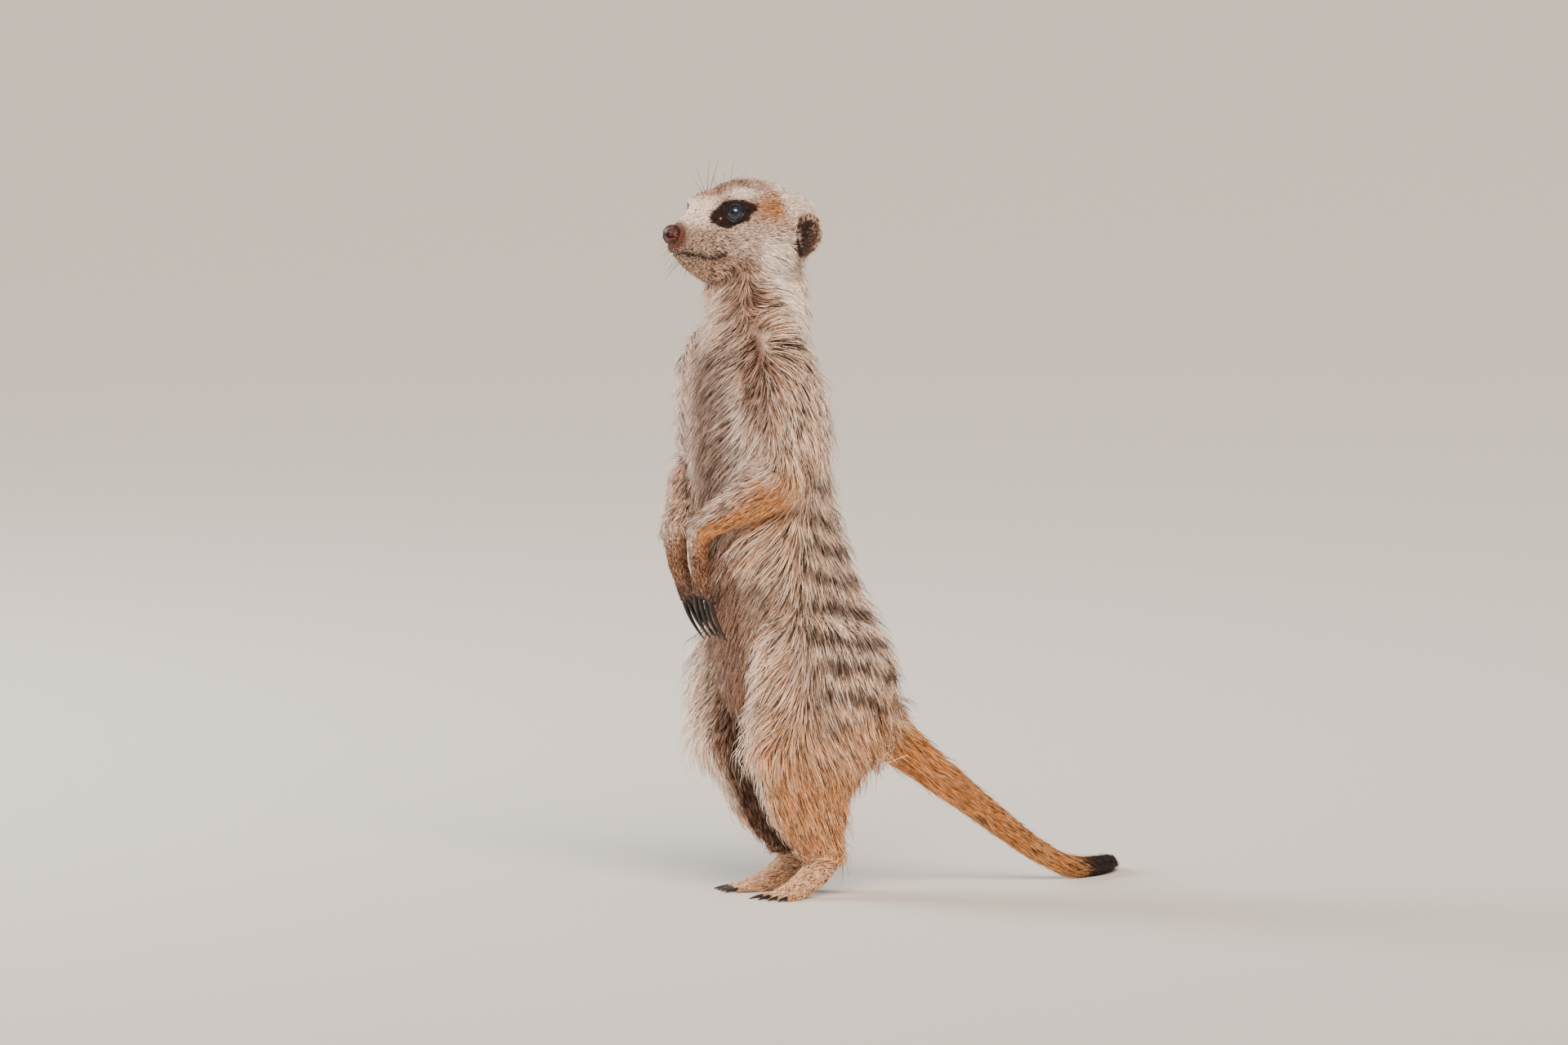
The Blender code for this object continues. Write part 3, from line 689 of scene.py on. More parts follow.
def make_hide():
    """The skin, sunk below the solids by the coat's depth, with lids and lips."""
    skin = fuse_flesh()
    hide = Hide(skin)
    mark_coat(hide)
    comb_coat(hide)
    mark_colours(hide)
    for name in ("depth", "length", "width", "stray", "lift", *MARKS):
        rounds = 2 if name == "mask" else 8  # the dark patches keep sharper edges
        setattr(hide, name, spread(getattr(hide, name), hide.edges, rounds))
    hide.points -= hide.normals * (hide.depth + SWELL)[:, None]
    fine = hide.is_part("head", "hand", "foot", "ear")
    for rounds, share in ((5, 1 - fine), (2, fine)):  # the finer parts are smoothed less
        smooth = spread(hide.points, hide.edges, rounds)
        hide.points += (smooth - hide.points) * share[:, None]
    hide.settle()
    shape_eyes(hide)
    hide.settle()
    shape_mouth(hide)
    hide.points[:, 2] = np.maximum(hide.points[:, 2], 0.02)
    hide.settle()
    hide.lie = flat_to(hide.lie, hide.normals)
    hide.tree = tree_of(hide.points)
    hide.atlas = atlas(hide)
    set_points(hide.mesh, hide.points)
    hide.mesh.shade_smooth()
    for name in MARKS:
        set_values(hide.mesh, name, getattr(hide, name))
    set_values(hide.mesh, "band", banding(hide.points))
    grain = hide.points - hide.lie * ((hide.points * hide.lie).sum(axis=1, keepdims=True) * 0.85)
    set_values(hide.mesh, "grain", grain)
    return skin, hide


# ---------------------------------------------------------------- the coat


def thin_solids(paths, up, widths, girths):
    """Closed three-sided spindles along the paths, one for each, as points, triangles and shares along.

    paths is spindles x stations x 3, up is the way that each spindle's ridge faces, and girths are the
    shares of its width at the stations between its two points.
    """
    count, stations, _ = paths.shape
    rings = stations - 2
    heading = unit(paths[:, 2:] - paths[:, :-2])
    side = unit(np.cross(heading, up[:, None, :]))
    ridge = np.cross(side, heading)
    half = widths[:, None, None] * np.array(girths)[None, :, None] / 2
    middle = paths[:, 1:-1]
    ring = np.stack((middle + side * half, middle + ridge * half * 1.1, middle - side * half), axis=2)
    points = np.concatenate((paths[:, :1], ring.reshape(count, rings * 3, 3), paths[:, -1:]), axis=1)
    faces = []
    last = 1 + 3 * rings
    for corner in range(3):
        after = (corner + 1) % 3
        faces.append((0, 1 + corner, 1 + after))
        for row in range(rings - 1):
            here, there = 1 + 3 * row, 4 + 3 * row
            faces.append((here + corner, there + corner, there + after))
            faces.append((here + corner, there + after, here + after))
        end = 1 + 3 * (rings - 1)
        faces.append((end + corner, last, end + after))
    faces = np.array(faces)
    triangles = faces[None] + (np.arange(count) * points.shape[1])[:, None, None]
    shares = np.concatenate(([0], np.repeat(np.arange(1, stations - 1), 3), [stations - 1])) / (stations - 1)
    return points, triangles.reshape(-1, 3), shares


def root_density(hide):
    """How thickly the locks grow, and none on the lids' edge, the lips or the soles."""
    density = 1 / (hide.length * hide.width) ** 0.9
    density *= 1 - step(hide.left[:, 2], 1.2, 0.6)
    distance, heading, along, up = eye_place(hide.left)
    lids = step(distance, 10, 9) * step(heading @ EYE_AXIS, 0.2, 0.4) * step(lid_gap(along, up), 1.1, 0.5)
    density *= 1 - lids
    by_nose = np.linalg.norm((hide.left - NOSE_MIDDLE) / NOSE_HALF, axis=1)
    density *= 1 - hide.is_part("head") * step(by_nose, 1.35, 1.15)
    density *= 1 - 0.9 * hide.is_part("head") * step(distance_to_line(hide.left, MOUTH), 0.8, 0.4)
    return np.maximum(density, 0)


def weights_of(hide, density):
    """Each triangle's area times the density on it."""
    corners = hide.points[hide.triangles]
    area = np.linalg.norm(np.cross(corners[:, 1] - corners[:, 0], corners[:, 2] - corners[:, 0]), axis=1) / 2
    return area * density[hide.triangles].mean(axis=1)


def sow(hide, wanted, density, chance):
    """Places on the skin for the locks' roots: a triangle and a share of its corners for each."""
    edges = np.cumsum(weights_of(hide, density))
    faces = np.searchsorted(edges, chance.random(wanted) * edges[-1])
    first, second = chance.random((2, wanted))
    flip = first + second > 1
    first[flip], second[flip] = 1 - first[flip], 1 - second[flip]
    return hide.triangles[faces], np.stack((1 - first - second, first, second), axis=1)


def at_roots(values, corners, shares):
    return (values[corners] * (shares if values.ndim == 1 else shares[:, :, None])).sum(axis=1)


def atlas(hide):
    """Each vertex's place on a flat map of the skin: a strip for each part, round it and along it."""
    names = sorted(set(hide.part))
    place = np.zeros((len(hide.points), 2))
    weight = 1 / (hide.length * hide.width)
    total = sum(weight[hide.part == name].sum() for name in names)
    start = 0.0
    for name in names:
        mine = hide.part == name
        share = weight[mine].sum() / total
        way = np.array(PARTS[kind_of(name)][2], dtype=float)
        way[0] *= 1 if name.endswith("left") else -1
        way = unit(way)
        across = unit(np.cross(way, (0.3, 0.1, 0.95) if abs(way[2]) < 0.8 else (0.1, 1, 0.2)))
        third = np.cross(way, across)
        apart = hide.points[mine] - hide.points[mine].mean(axis=0)
        turn = np.arctan2(apart @ across, apart @ third) / (2 * np.pi) + 0.5
        along = apart @ way
        along = (along - along.min()) / max(np.ptp(along), 0.01)
        place[mine, 0] = start + share * (0.02 + 0.96 * turn)
        place[mine, 1] = 0.005 + 0.985 * along
        start += share
    return place


PATCH = 0.003  # of the flat map, for each lock
STATIONS = {"long": (0, 0.36, 0.72, 1), "short": (0, 0.45, 1)}  # shares of a lock's length
GIRTHS = {"long": (1.0, 0.72), "short": (1.0,)}  # shares of its width, between its ends
LOCK_FACES = {"long": 12, "short": 6}  # triangles of a lock
SAMPLE = 60000  # roots, from which the share of long locks is found
LONG = 9.2  # mm, from which a lock bends in two places
CLUMP_BASE, CLUMP_SHARE = 0.36, 0.052  # mm, and share of the hair's length, from one clump to the next
CLUMP_PULL = 0.7  # how far the tips of a clump draw together


def make_clumps(hide, chance):
    """Hairs gather into pointed clumps: a tree of the clumps' middles, and each one's place and chances."""
    within = (root_density(hide) > 0) / (CLUMP_BASE + CLUMP_SHARE * hide.length) ** 2
    corners, shares = sow(hide, int(weights_of(hide, within).sum()), within, chance)
    places = at_roots(hide.points, corners, shares)
    return tree_of(places), places, chance.random((3, len(places)))


def grow_locks(hide, corners, shares, kind, clumps, chance):
    """Locks from these roots, which follow the lie of the coat as they go."""
    steps = STATIONS[kind]
    count = len(corners)
    root = at_roots(hide.points, corners, shares)
    tree, middles, chances = clumps
    clump = nearest(tree, root)
    clump_rise, clump_length, clump_pick = chances[:, clump]
    together = middles[clump] - root
    together *= (CLUMP_PULL * chance.uniform(0.3, 1, count))[:, None]
    length = at_roots(hide.length, corners, shares)
    length *= chance.uniform(0.7, 1.15, count) * (0.85 + 0.3 * clump_length)
    width = at_roots(hide.width, corners, shares) * chance.uniform(0.7, 1.25, count)
    depth = at_roots(hide.depth, corners, shares)
    lift = at_roots(hide.lift, corners, shares)
    stray = chance.random(count) < at_roots(hide.stray, corners, shares)
    rise = depth * lift * (0.4 + 0.35 * clump_rise + 0.25 * chance.random(count))
    rise += np.where(stray, depth * lift * chance.uniform(0.1, 1.2, count), 0)
    length *= np.where(stray, 1.2, 1)
    width *= np.where(stray, 0.75, 1)
    wander = chance.normal(size=(count, 3)) * 0.06
    vertices = corners[np.arange(count), shares.argmax(axis=1)]
    normal = hide.normals[vertices]
    heading = flat_to(hide.lie[vertices] + wander, normal)
    ground = root
    path = [root - normal * 0.35]
    for before, after in zip(steps[:-1], steps[1:]):
        ahead = ground + heading * (length * (after - before))[:, None]
        ahead += together * (after**1.3 - before**1.3)
        vertices = nearest(hide.tree, ahead)
        normal = hide.normals[vertices]
        drop = ((ahead - hide.points[vertices]) * normal).sum(axis=1)
        drop = np.clip(drop, -3, 2.2)
        ground = ahead - normal * drop[:, None]
        height = rise * (1 - (1 - after) ** 1.7) + 0.1
        path.append(ground + normal * height[:, None])
        heading = flat_to(hide.lie[vertices] + wander, normal)
    path = np.stack(path, axis=1)
    path[:, :, 2] = np.maximum(path[:, :, 2], 0.12)
    up = unit(at_roots(hide.normals, corners, shares) + chance.normal(size=(count, 3)) * 0.35)
    points, triangles, along = thin_solids(path, up, width, GIRTHS[kind])
    values = {name: at_roots(getattr(hide, name), corners, shares) for name in MARKS}
    values["pick"] = np.where(chance.random(count) < 0.72, clump_pick, chance.random(count))
    flat = at_roots(hide.atlas, corners, shares)
    return points, triangles, along, values, flat


def join_locks(batches, name):
    """One mesh of several batches of locks, with their markings and the flat map."""
    all_points, all_triangles, columns, maps = [], [], {}, []
    start = 0
    for points, triangles, along, values, flat in batches:
        count, each, _ = points.shape
        all_points.append(points.reshape(-1, 3))
        all_triangles.append(triangles + start)
        start += count * each
        columns.setdefault("tip", []).append(np.tile(along, count))
        columns.setdefault("band", []).append(banding(points.reshape(-1, 3)))
        for key, value in values.items():
            columns.setdefault(key, []).append(np.repeat(value, each))
        turn = np.zeros(each)
        turn[1:-1] = np.tile((0, 0.5, 1), (each - 2) // 3)
        turn[[0, -1]] = 0.5
        patch = np.stack((turn, along), axis=1) * PATCH - PATCH / 2
        maps.append((flat[:, None, :] + patch[None]).reshape(-1, 2))
    triangles = np.concatenate(all_triangles)
    mesh = mesh_from(name, np.concatenate(all_points), triangles)
    for key, parts in columns.items():
        set_values(mesh, key, np.concatenate(parts))
    flat_map = mesh.uv_layers.new(name="OFBake")
    places = np.clip(np.concatenate(maps), 0.0005, 0.9995)[triangles.ravel()]
    flat_map.data.foreach_set("uv", places.astype(np.float32).ravel())
    return linked(name, mesh)


def make_coat(hide):
    """The whole coat in pieces, each with locks from all over the body."""
    chance = np.random.default_rng(SEED + 2)
    density = root_density(hide)
    corners, shares = sow(hide, SAMPLE, density, chance)
    is_long = at_roots(hide.length, corners, shares) >= LONG
    each = np.where(is_long, LOCK_FACES["long"], LOCK_FACES["short"]).mean()
    corners, shares = sow(hide, int(COAT_FACES / each), density, chance)
    is_long = at_roots(hide.length, corners, shares) >= LONG
    clumps = make_clumps(hide, chance)
    turn = np.arange(len(corners)) % COAT_PIECES
    pieces = []
    for number in range(COAT_PIECES):
        batches = []
        for kind, chosen in (("long", is_long), ("short", ~is_long)):
            mine = chosen & (turn == number)
            batches.append(grow_locks(hide, corners[mine], shares[mine], kind, clumps, chance))
        pieces.append(join_locks(batches, f"coat_{number + 1}"))
    return pieces


# ---------------------------------------------------------------- eyes, nose, claws and whiskers


def on_side(places, side):
    """Places on the left side, moved to the named side."""
    return np.asarray(places, dtype=float) * np.array((SIDES[side], 1, 1))


def new_ball(name, segments, rings, radius):
    """A smooth ball at the frame's middle, and its points in millimetres from its own middle."""
    bpy.ops.object.select_all(action="DESELECT")
    bpy.ops.mesh.primitive_uv_sphere_add(segments=segments, ring_count=rings, radius=radius * MM)
    ball = bpy.context.active_object
    ball.name = name
    ball.data.name = name
    ball.data.shade_smooth()
    return ball, points_of(ball.data) - SHOULDERS


def make_eye(side):
    """A wet eyeball with an iris and a pupil, by its angle from the eye's axis."""
    middle = node_middle("eye_" + side)
    eye, ball = new_ball("eyeball_" + side, 64, 40, EYE_RADIUS)
    heading = unit(ball)
    axis = on_side(EYE_AXIS, side)
    angle = np.degrees(np.arccos(np.clip(heading @ axis, -1, 1)))
    bulge = 0.25 * step(angle, 40, 15)
    set_points(eye.data, middle + heading * (EYE_RADIUS + bulge)[:, None])
    set_values(eye.data, "angle", angle)
    return eye


def make_lid_rim(side):
    """The bare wet rim of the lids: a closed cord on the eyeball, round the almond opening."""
    turns = np.linspace(0, 2 * np.pi, 72, endpoint=False)
    along = OPENING[0] * np.cos(turns)
    up = lid_height(np.cos(turns)) * np.sign(np.sin(turns)) + LID_TILT * along
    aside = np.tan(along / EYE_RADIUS)[:, None] * EYE_BACK + np.tan(up / EYE_RADIUS)[:, None] * EYE_UP
    heading = unit(EYE_AXIS + aside)
    middle = EYE_MIDDLE + heading * (EYE_RADIUS + 0.24)
    middle = (np.roll(middle, 1, axis=0) + 2 * middle + np.roll(middle, -1, axis=0)) / 4
    run = unit(np.roll(middle, -1, axis=0) - np.roll(middle, 1, axis=0))
    across = unit(np.cross(run, heading))
    angles = np.linspace(0, 2 * np.pi, RIM_SIDES, endpoint=False)
    ring = np.cos(angles)[None, :, None] * across[:, None] + np.sin(angles)[None, :, None] * heading[:, None]
    points = (middle[:, None] + ring * RIM_RADIUS).reshape(-1, 3)
    faces = []
    count = len(middle)
    for row in range(count):
        row_here, row_there = row * RIM_SIDES, (row + 1) % count * RIM_SIDES
        for corner in range(RIM_SIDES):
            after = (corner + 1) % RIM_SIDES
            here, beside = row_here + corner, row_here + after
            there, beyond = row_there + corner, row_there + after
            faces += [(here, there, beyond), (here, beyond, beside)]
    name = "lid_rim_" + side
    rim = linked(name, mesh_from(name, on_side(points, side), np.array(faces)))
    outward_normals(rim.data)
    return rim


def outward_normals(mesh):
    shape = bmesh.new()
    shape.from_mesh(mesh)
    bmesh.ops.recalc_face_normals(shape, faces=shape.faces)
    shape.to_mesh(mesh)
    shape.free()
    mesh.shade_smooth()


def make_nose():
    """The bare nose pad, a little squared, with two comma-shaped nostrils and a groove between them."""
    nose, ball = new_ball("nose_pad", 120, 80, 1)
    shape = np.sign(ball) * np.abs(ball) ** np.array((0.86, 1.0, 0.86)) * NOSE_HALF
    x, y, z = shape.T
    front = step(y, NOSE_HALF[1] * 0.1, -NOSE_HALF[1] * 0.5)
    groove = np.exp(-((x / 0.32) ** 2)) * front * step(z, 2.2, 0.5) * 0.45
    nostril = np.hypot((np.abs(x) - 2.35) / 1.0, (z - 0.2 - 0.25 * (np.abs(x) - 2.35)) / 0.85)
    slit = np.hypot((np.abs(x) - 3.5) / 1.3, (z + 0.75) / 0.42)
    pit = 1.5 * step(np.minimum(nostril, slit), 1.05, 0.5) * step(y, 1.5, -0.4)
    wing = 0.28 * np.exp(-(((np.hypot((np.abs(x) - 2.5) / 1.5, (z - 0.2) / 1.35) - 1) / 0.28) ** 2)) * front
    shape *= (1 - (groove + pit - wing) / np.linalg.norm(shape, axis=1))[:, None]
    set_points(nose.data, shape + NOSE_MIDDLE)
    # the pits' depth, which the nose's material paints as shade
    set_values(nose.data, "pit", np.clip(pit, 0, 1))
    return nose


CLAW_GROWTH = 0.12  # mm


def make_claw(name):
    """The CAD claw, rounded off. It grows a little first, because rounding draws it in."""
    claw = frame["nodes"][name].copy()
    claw.data = claw.data.copy()
    claw.name = name.replace("claw", "horn")
    claw.data.name = claw.name
    bpy.context.scene.collection.objects.link(claw)
    shape = bmesh.new()
    shape.from_mesh(claw.data)
    bmesh.ops.remove_doubles(shape, verts=shape.verts, dist=0.01 * MM)
    bmesh.ops.join_triangles(shape, faces=shape.faces, angle_face_threshold=0.7, angle_shape_threshold=0.7)
    for vert in shape.verts:
        vert.co += vert.normal * CLAW_GROWTH * MM
    shape.to_mesh(claw.data)
    shape.free()
    apply_modifier(claw, "SUBSURF", levels=2, render_levels=2)
    claw.data.shade_smooth()
    return claw


def single_hairs(name, hairs, width):
    """Long single hairs as thin tapering solids. Each has a root, a heading, a length and a bend."""
    steps = np.array((0, 0.06, 0.25, 0.45, 0.65, 0.85, 1.0))
    roots, headings, lengths, bends = (np.array(values) for values in zip(*hairs))
    paths = roots[:, None] + unit(headings)[:, None] * (steps[None, :] * lengths[:, None])[:, :, None]
    paths += bends[:, None] * (steps[None, :, None] ** 2) * lengths[:, None, None]
    up = np.tile(np.array((0.2, 0.1, 1.0)), (len(roots), 1))
    girths = (1, 0.9, 0.75, 0.58, 0.4)
    points, triangles, _ = thin_solids(paths, up, np.full(len(roots), width), girths)
    return linked(name, mesh_from(name, points.reshape(-1, 3), triangles))


def make_whiskers():
    """Whiskers in rows on the upper lip, with some on the chin, above the eyes and on the cheeks."""
    chance = np.random.default_rng(SEED + 3)
    whiskers = []

    def add(root, heading, length, bend):
        for side in SIDES:
            way = np.array(heading) + chance.normal(size=3) * 0.08
            size = length * chance.uniform(0.8, 1.15)
            whiskers.append((on_side(root, side), on_side(way, side), size, on_side(bend, side)))

    for row in range(4):
        for place in range(4):
            root = (4.6 + 1.15 * place, -50.5 + 2.8 * place, 274.6 + 1.7 * row - 0.3 * place)
            heading = (0.55 + 0.15 * place, -0.85 + 0.25 * place, 0.3 * row - 0.4)
            add(root, heading, 10 + 3.5 * place, (0.1, 0.3, -0.2))
    for place in range(3):
        add((3.2 + place, -50 + 2 * place, 269.6), (0.3, -0.8, -0.5), 9 + place, (0.0, 0.2, -0.2))
    for place in range(4):
        root = (8.5 + place, -35.5 + 1.5 * place, 296.8)
        add(root, (0.1, -0.6 + 0.3 * place, 0.95), 12 + 2 * place, (0.1, 0.1, -0.1))
    for place in range(3):
        add((22.5, -21 + 3 * place, 273 - place), (0.5, 0.7, -0.5), 11, (0, 0.2, -0.2))
    return single_hairs("whiskers", whiskers, 0.3)


def make_bristles(hide):
    """Short dark bristles: on the upper lip, lying back over it, and along the upper lids."""
    chance = np.random.default_rng(SEED + 4)
    bristles = []
    for side in SIDES:
        for _ in range(44):
            wanted = on_side(chance.uniform((6, -49, 275), (14, -34, 283)), side)
            vertex = hide.tree.find(wanted.tolist())[1]
            normal = hide.normals[vertex]
            root, way = hide.points[vertex] + normal * 0.2, hide.lie[vertex] + normal * 0.2
            bristles.append((root, way, chance.uniform(1.2, 3.0), -normal * 0.15))
        for share in np.linspace(-0.85, 0.95, 16):
            up = lid_height(share) + 0.3
            heading = EYE_AXIS + share * 0.85 * EYE_BACK + up / EYE_RADIUS * EYE_UP
            root = on_side(EYE_MIDDLE + unit(heading) * (EYE_RADIUS + 0.5), side)
            way = on_side(EYE_AXIS * 0.6 + EYE_UP + EYE_BACK * share, side)
            bristles.append((root, way, chance.uniform(1.4, 2.2), EYE_UP * (0, 0, 0.3)))
    return single_hairs("bristles", bristles, 0.17)


def make_eye_corner(side):
    """The small moist pink fold at the eye's inner corner."""
    corner, ball = new_ball("eye_corner_" + side, 24, 16, 1)
    place = on_side(EYE_CORNER, side)
    vertex = hide.tree.find(place.tolist())[1]
    set_points(corner.data, hide.points[vertex] + hide.normals[vertex] * 0.25 + ball * (0.55, 0.65, 0.5))
    return corner


# ---------------------------------------------------------------- materials


def colour(code):
    """The linear colour of an sRGB hex code."""
    parts = [int(code[place : place + 2], 16) / 255 for place in (1, 3, 5)]
    return (*[part / 12.92 if part <= 0.04045 else ((part + 0.055) / 1.055) ** 2.4 for part in parts], 1)


SMOOTH = {"interpolation_type": "SMOOTHSTEP"}
COLOUR_MIX = {"data_type": "RGBA", "output": 2}  # with its share at 0 and its colours at 6 and 7


def add_node(tree, kind, inputs, output=0, **settings):
    """Adds a node and gives one of its outputs.

    An input is a constant, the code of a colour, or the socket that it is linked from.
    """
    made = tree.nodes.new("ShaderNode" + kind)
    for name, value in settings.items():
        setattr(made, name, value)
    for name, value in inputs.items():
        if isinstance(value, bpy.types.NodeSocket):
            tree.links.new(value, made.inputs[name])
        else:
            made.inputs[name].default_value = colour(value) if isinstance(value, str) else value
    return made.outputs[output]


def layered(tree, base, *layers, **settings):
    """The base colour under layers: each a value, where it starts and where it covers all, and a colour."""
    for value, start, full, paint in layers:
        inputs = {"Value": value, "From Min": start, "From Max": full}
        share = add_node(tree, "MapRange", inputs, **(settings or SMOOTH))
        base = add_node(tree, "Mix", {0: share, 6: base, 7: paint}, **COLOUR_MIX)
    return base


def graded(tree, value, stops):
    """The colour for a value, from colours at rising places."""
    spans = [(value, low, high, paint) for (low, _), (high, paint) in zip(stops[:-1], stops[1:])]
    return layered(tree, stops[0][1], *spans, interpolation_type="LINEAR")


def new_material(name, constants):
    """A material and its node tree, with constants on the shader's own sockets."""
    material = bpy.data.materials.new(name)
    material.use_nodes = True
    shader = material.node_tree.nodes["Principled BSDF"]
    for socket, value in constants.items():
        shader.inputs[socket].default_value = value
    return material, material.node_tree


def cover(tree, paint, height=None, strength=0.0, rise=0.0):
    """Gives the shader its colour and, where there is a height, relief of so many millimetres."""
    shader = tree.nodes["Principled BSDF"]
    tree.links.new(paint, shader.inputs["Base Color"])
    if height is not None:
        relief = {"Height": height, "Strength": strength, "Distance": rise * MM}
        tree.links.new(add_node(tree, "Bump", relief), shader.inputs["Normal"])


# Places on the scale from dark to pale hair, and the colour of hair there.
MIDDLES = ((0.0, "#4E382E"), (0.5, "#9A7464"), (0.95, "#F0CDB4"), (1.3, "#FFF1E6"))
ENDS = ((0.0, "#8A6B5C"), (0.45, "#EBCFBB"), (0.9, "#FFF3E8"))
TAN_MIDDLES = ((0.0, "#70401F"), (0.6, "#CC7A38"), (1.1, "#F2B06C"))
TAN_ENDS = ((0.0, "#B0703E"), (0.6, "#F4B06A"), (1.1, "#FFDCAE"))
ROOTS = ((0.3, "#2C1D16"), (0.85, "#4A3327"), (1.25, "#E9D5C6"))
DARK_HAIR = "#241811"
DARK_TIP = "#5A4439"
BAND = "#35190F"
BLACKISH = "#1F1615"
BLACKISH_TIP = "#5C4740"
BARE_SKIN = "#65382B"


def coat_colour(tree, tip, pick):
    """The colour of a hair, from its place along the hair, its own chance and the markings."""
    marks = [add_node(tree, "Attribute", {}, "Fac", attribute_name=name) for name in (*MARKS, "band")]
    pale, tan, dark, mask, bare, band = marks
    chances = []  # three more for each hair, from its first one
    for times in (13.7, 57.3, 131.9):
        many = add_node(tree, "Math", {0: pick, 1: times}, operation="MULTIPLY")
        chances.append(add_node(tree, "Math", {0: many}, operation="FRACT"))
    level_chance, tan_chance, light_chance = chances
    level = add_node(tree, "Math", {0: level_chance, 1: 0.5}, operation="SUBTRACT")
    level = add_node(tree, "Math", {0: level, 1: 0.5, 2: pale}, operation="MULTIPLY_ADD")
    is_tan = add_node(tree, "Math", {0: tan_chance, 1: -0.6, 2: tan}, operation="MULTIPLY_ADD")
    middle, end = (
        layered(tree, graded(tree, level, grey), (is_tan, -0.3, 0.95, graded(tree, level, ruddy)))
        for grey, ruddy in ((MIDDLES, TAN_MIDDLES), (ENDS, TAN_ENDS))
    )
    hair = layered(tree, graded(tree, level, ROOTS), (tip, 0.05, 0.5, middle), (tip, 0.35, 0.9, end))
    light = add_node(tree, "Math", {0: light_chance, 1: 0.54}, operation="ADD")
    least = add_node(tree, "Math", {0: level, 1: 0.45}, operation="SUBTRACT")
    light = add_node(tree, "Math", {0: light, 1: least}, operation="MAXIMUM")
    hair = add_node(tree, "HueSaturation", {"Color": hair, "Value": light})
    fading = add_node(tree, "Math", {0: tip, 1: -0.2, 2: 1.0}, operation="MULTIPLY_ADD")
    banded = add_node(tree, "Math", {0: band, 1: fading}, operation="MULTIPLY")
    hair = add_node(tree, "Mix", {0: banded, 6: hair, 7: BAND}, **COLOUR_MIX)
    is_dark = add_node(tree, "Math", {0: dark, 1: pick}, operation="SUBTRACT")
    hair = layered(tree, hair, (is_dark, -0.05, 0.05, layered(tree, DARK_HAIR, (tip, 0.3, 1.0, DARK_TIP))))
    bare = add_node(tree, "Math", {0: bare, 1: 0.6}, operation="MULTIPLY")
    hair = add_node(tree, "Mix", {0: bare, 6: hair, 7: BARE_SKIN}, **COLOUR_MIX)
    worn = add_node(tree, "Math", {0: tip, 1: tan_chance}, operation="MULTIPLY")
    blackish = add_node(tree, "Mix", {0: worn, 6: BLACKISH, 7: BLACKISH_TIP}, **COLOUR_MIX)
    is_mask = add_node(tree, "Math", {0: tan_chance, 1: -0.35, 2: mask}, operation="MULTIPLY_ADD")
    return layered(tree, hair, (is_mask, 0.0, 0.45, blackish))


def fur_material():
    """Keratin guard hair: soft, a little glossy, dark at its root and pale at its tip."""
    material, tree = new_material("guard_hair", {"Roughness": 0.62, "Specular IOR Level": 0.25})
    tip, pick = (add_node(tree, "Attribute", {}, "Fac", attribute_name=name) for name in ("tip", "pick"))
    cover(tree, coat_colour(tree, tip, pick))
    return material


def skin_material():
    """Short underfur over skin: fine strands along the coat's lie, with the coat's own markings."""
    material, tree = new_material("underfur", {"Roughness": 0.8, "Specular IOR Level": 0.15})
    grain = add_node(tree, "Attribute", {}, "Vector", attribute_name="grain")  # mm, drawn out along the lie
    strands = add_node(tree, "TexNoise", {"Vector": grain, "Scale": 1.6, "Detail": 4.0})
    clumps = add_node(tree, "TexNoise", {"Vector": grain, "Scale": 0.45, "Detail": 2.0})
    tip = add_node(tree, "MapRange", {"Value": strands, "From Min": 0.3, "From Max": 0.85}, **SMOOTH)
    pick = add_node(tree, "MapRange", {"Value": clumps, "From Min": 0.3, "From Max": 0.7}, **SMOOTH)
    bare = add_node(tree, "Attribute", {}, "Fac", attribute_name="bare")
    bare = add_node(tree, "Math", {0: bare, 1: 0.8}, operation="MULTIPLY")
    hair = coat_colour(tree, tip, pick)
    hair = add_node(tree, "Mix", {0: bare, 6: hair, 7: BARE_SKIN}, **COLOUR_MIX)
    cover(tree, hair, strands, 0.6, 0.35)
    return material


def eye_material():
    """A wet eye: a black pupil in a dark iris painted slate blue as a painted reflection of the sky, with
    fine rays, under a clear glossy coat.
    """
    constants = {"Roughness": 0.25, "Specular IOR Level": 0.1}
    constants |= {"Coat Weight": 1.0, "Coat Roughness": 0.02, "Coat IOR": 1.5}
    material, tree = new_material("wet_eyeball", constants)
    angle = add_node(tree, "Attribute", {}, "Fac", attribute_name="angle")
    place = add_node(tree, "TexCoord", {}, "Object")
    rays = add_node(tree, "TexNoise", {"Vector": place, "Scale": 0.9 / MM, "Detail": 4.0})
    # painted reflection: the iris painted slate blue, for the sky seen in a wet eye
    iris_with_painted_sky = layered(tree, "#04060A", (rays, 0.35, 0.65, "#222D48"))
    cover(tree, layered(tree, "#030303", (angle, 14.0, 20.0, iris_with_painted_sky), (angle, 42.0, 50.0, "#070505")))
    return material


def rim_material():
    """Bare wet skin at the edge of the lids: grey-brown, fine-grained and moist."""
    material, tree = new_material("lid_edge_skin", {"Roughness": 0.3})
    place = add_node(tree, "TexCoord", {}, "Object")
    grain = add_node(tree, "TexNoise", {"Vector": place, "Scale": 1.8 / MM, "Detail": 3.0})
    skin = add_node(tree, "Mix", {0: grain, 6: "#0A0706", 7: "#2B2320"}, **COLOUR_MIX)
    cover(tree, skin, grain, 0.4, 0.08)
    return material


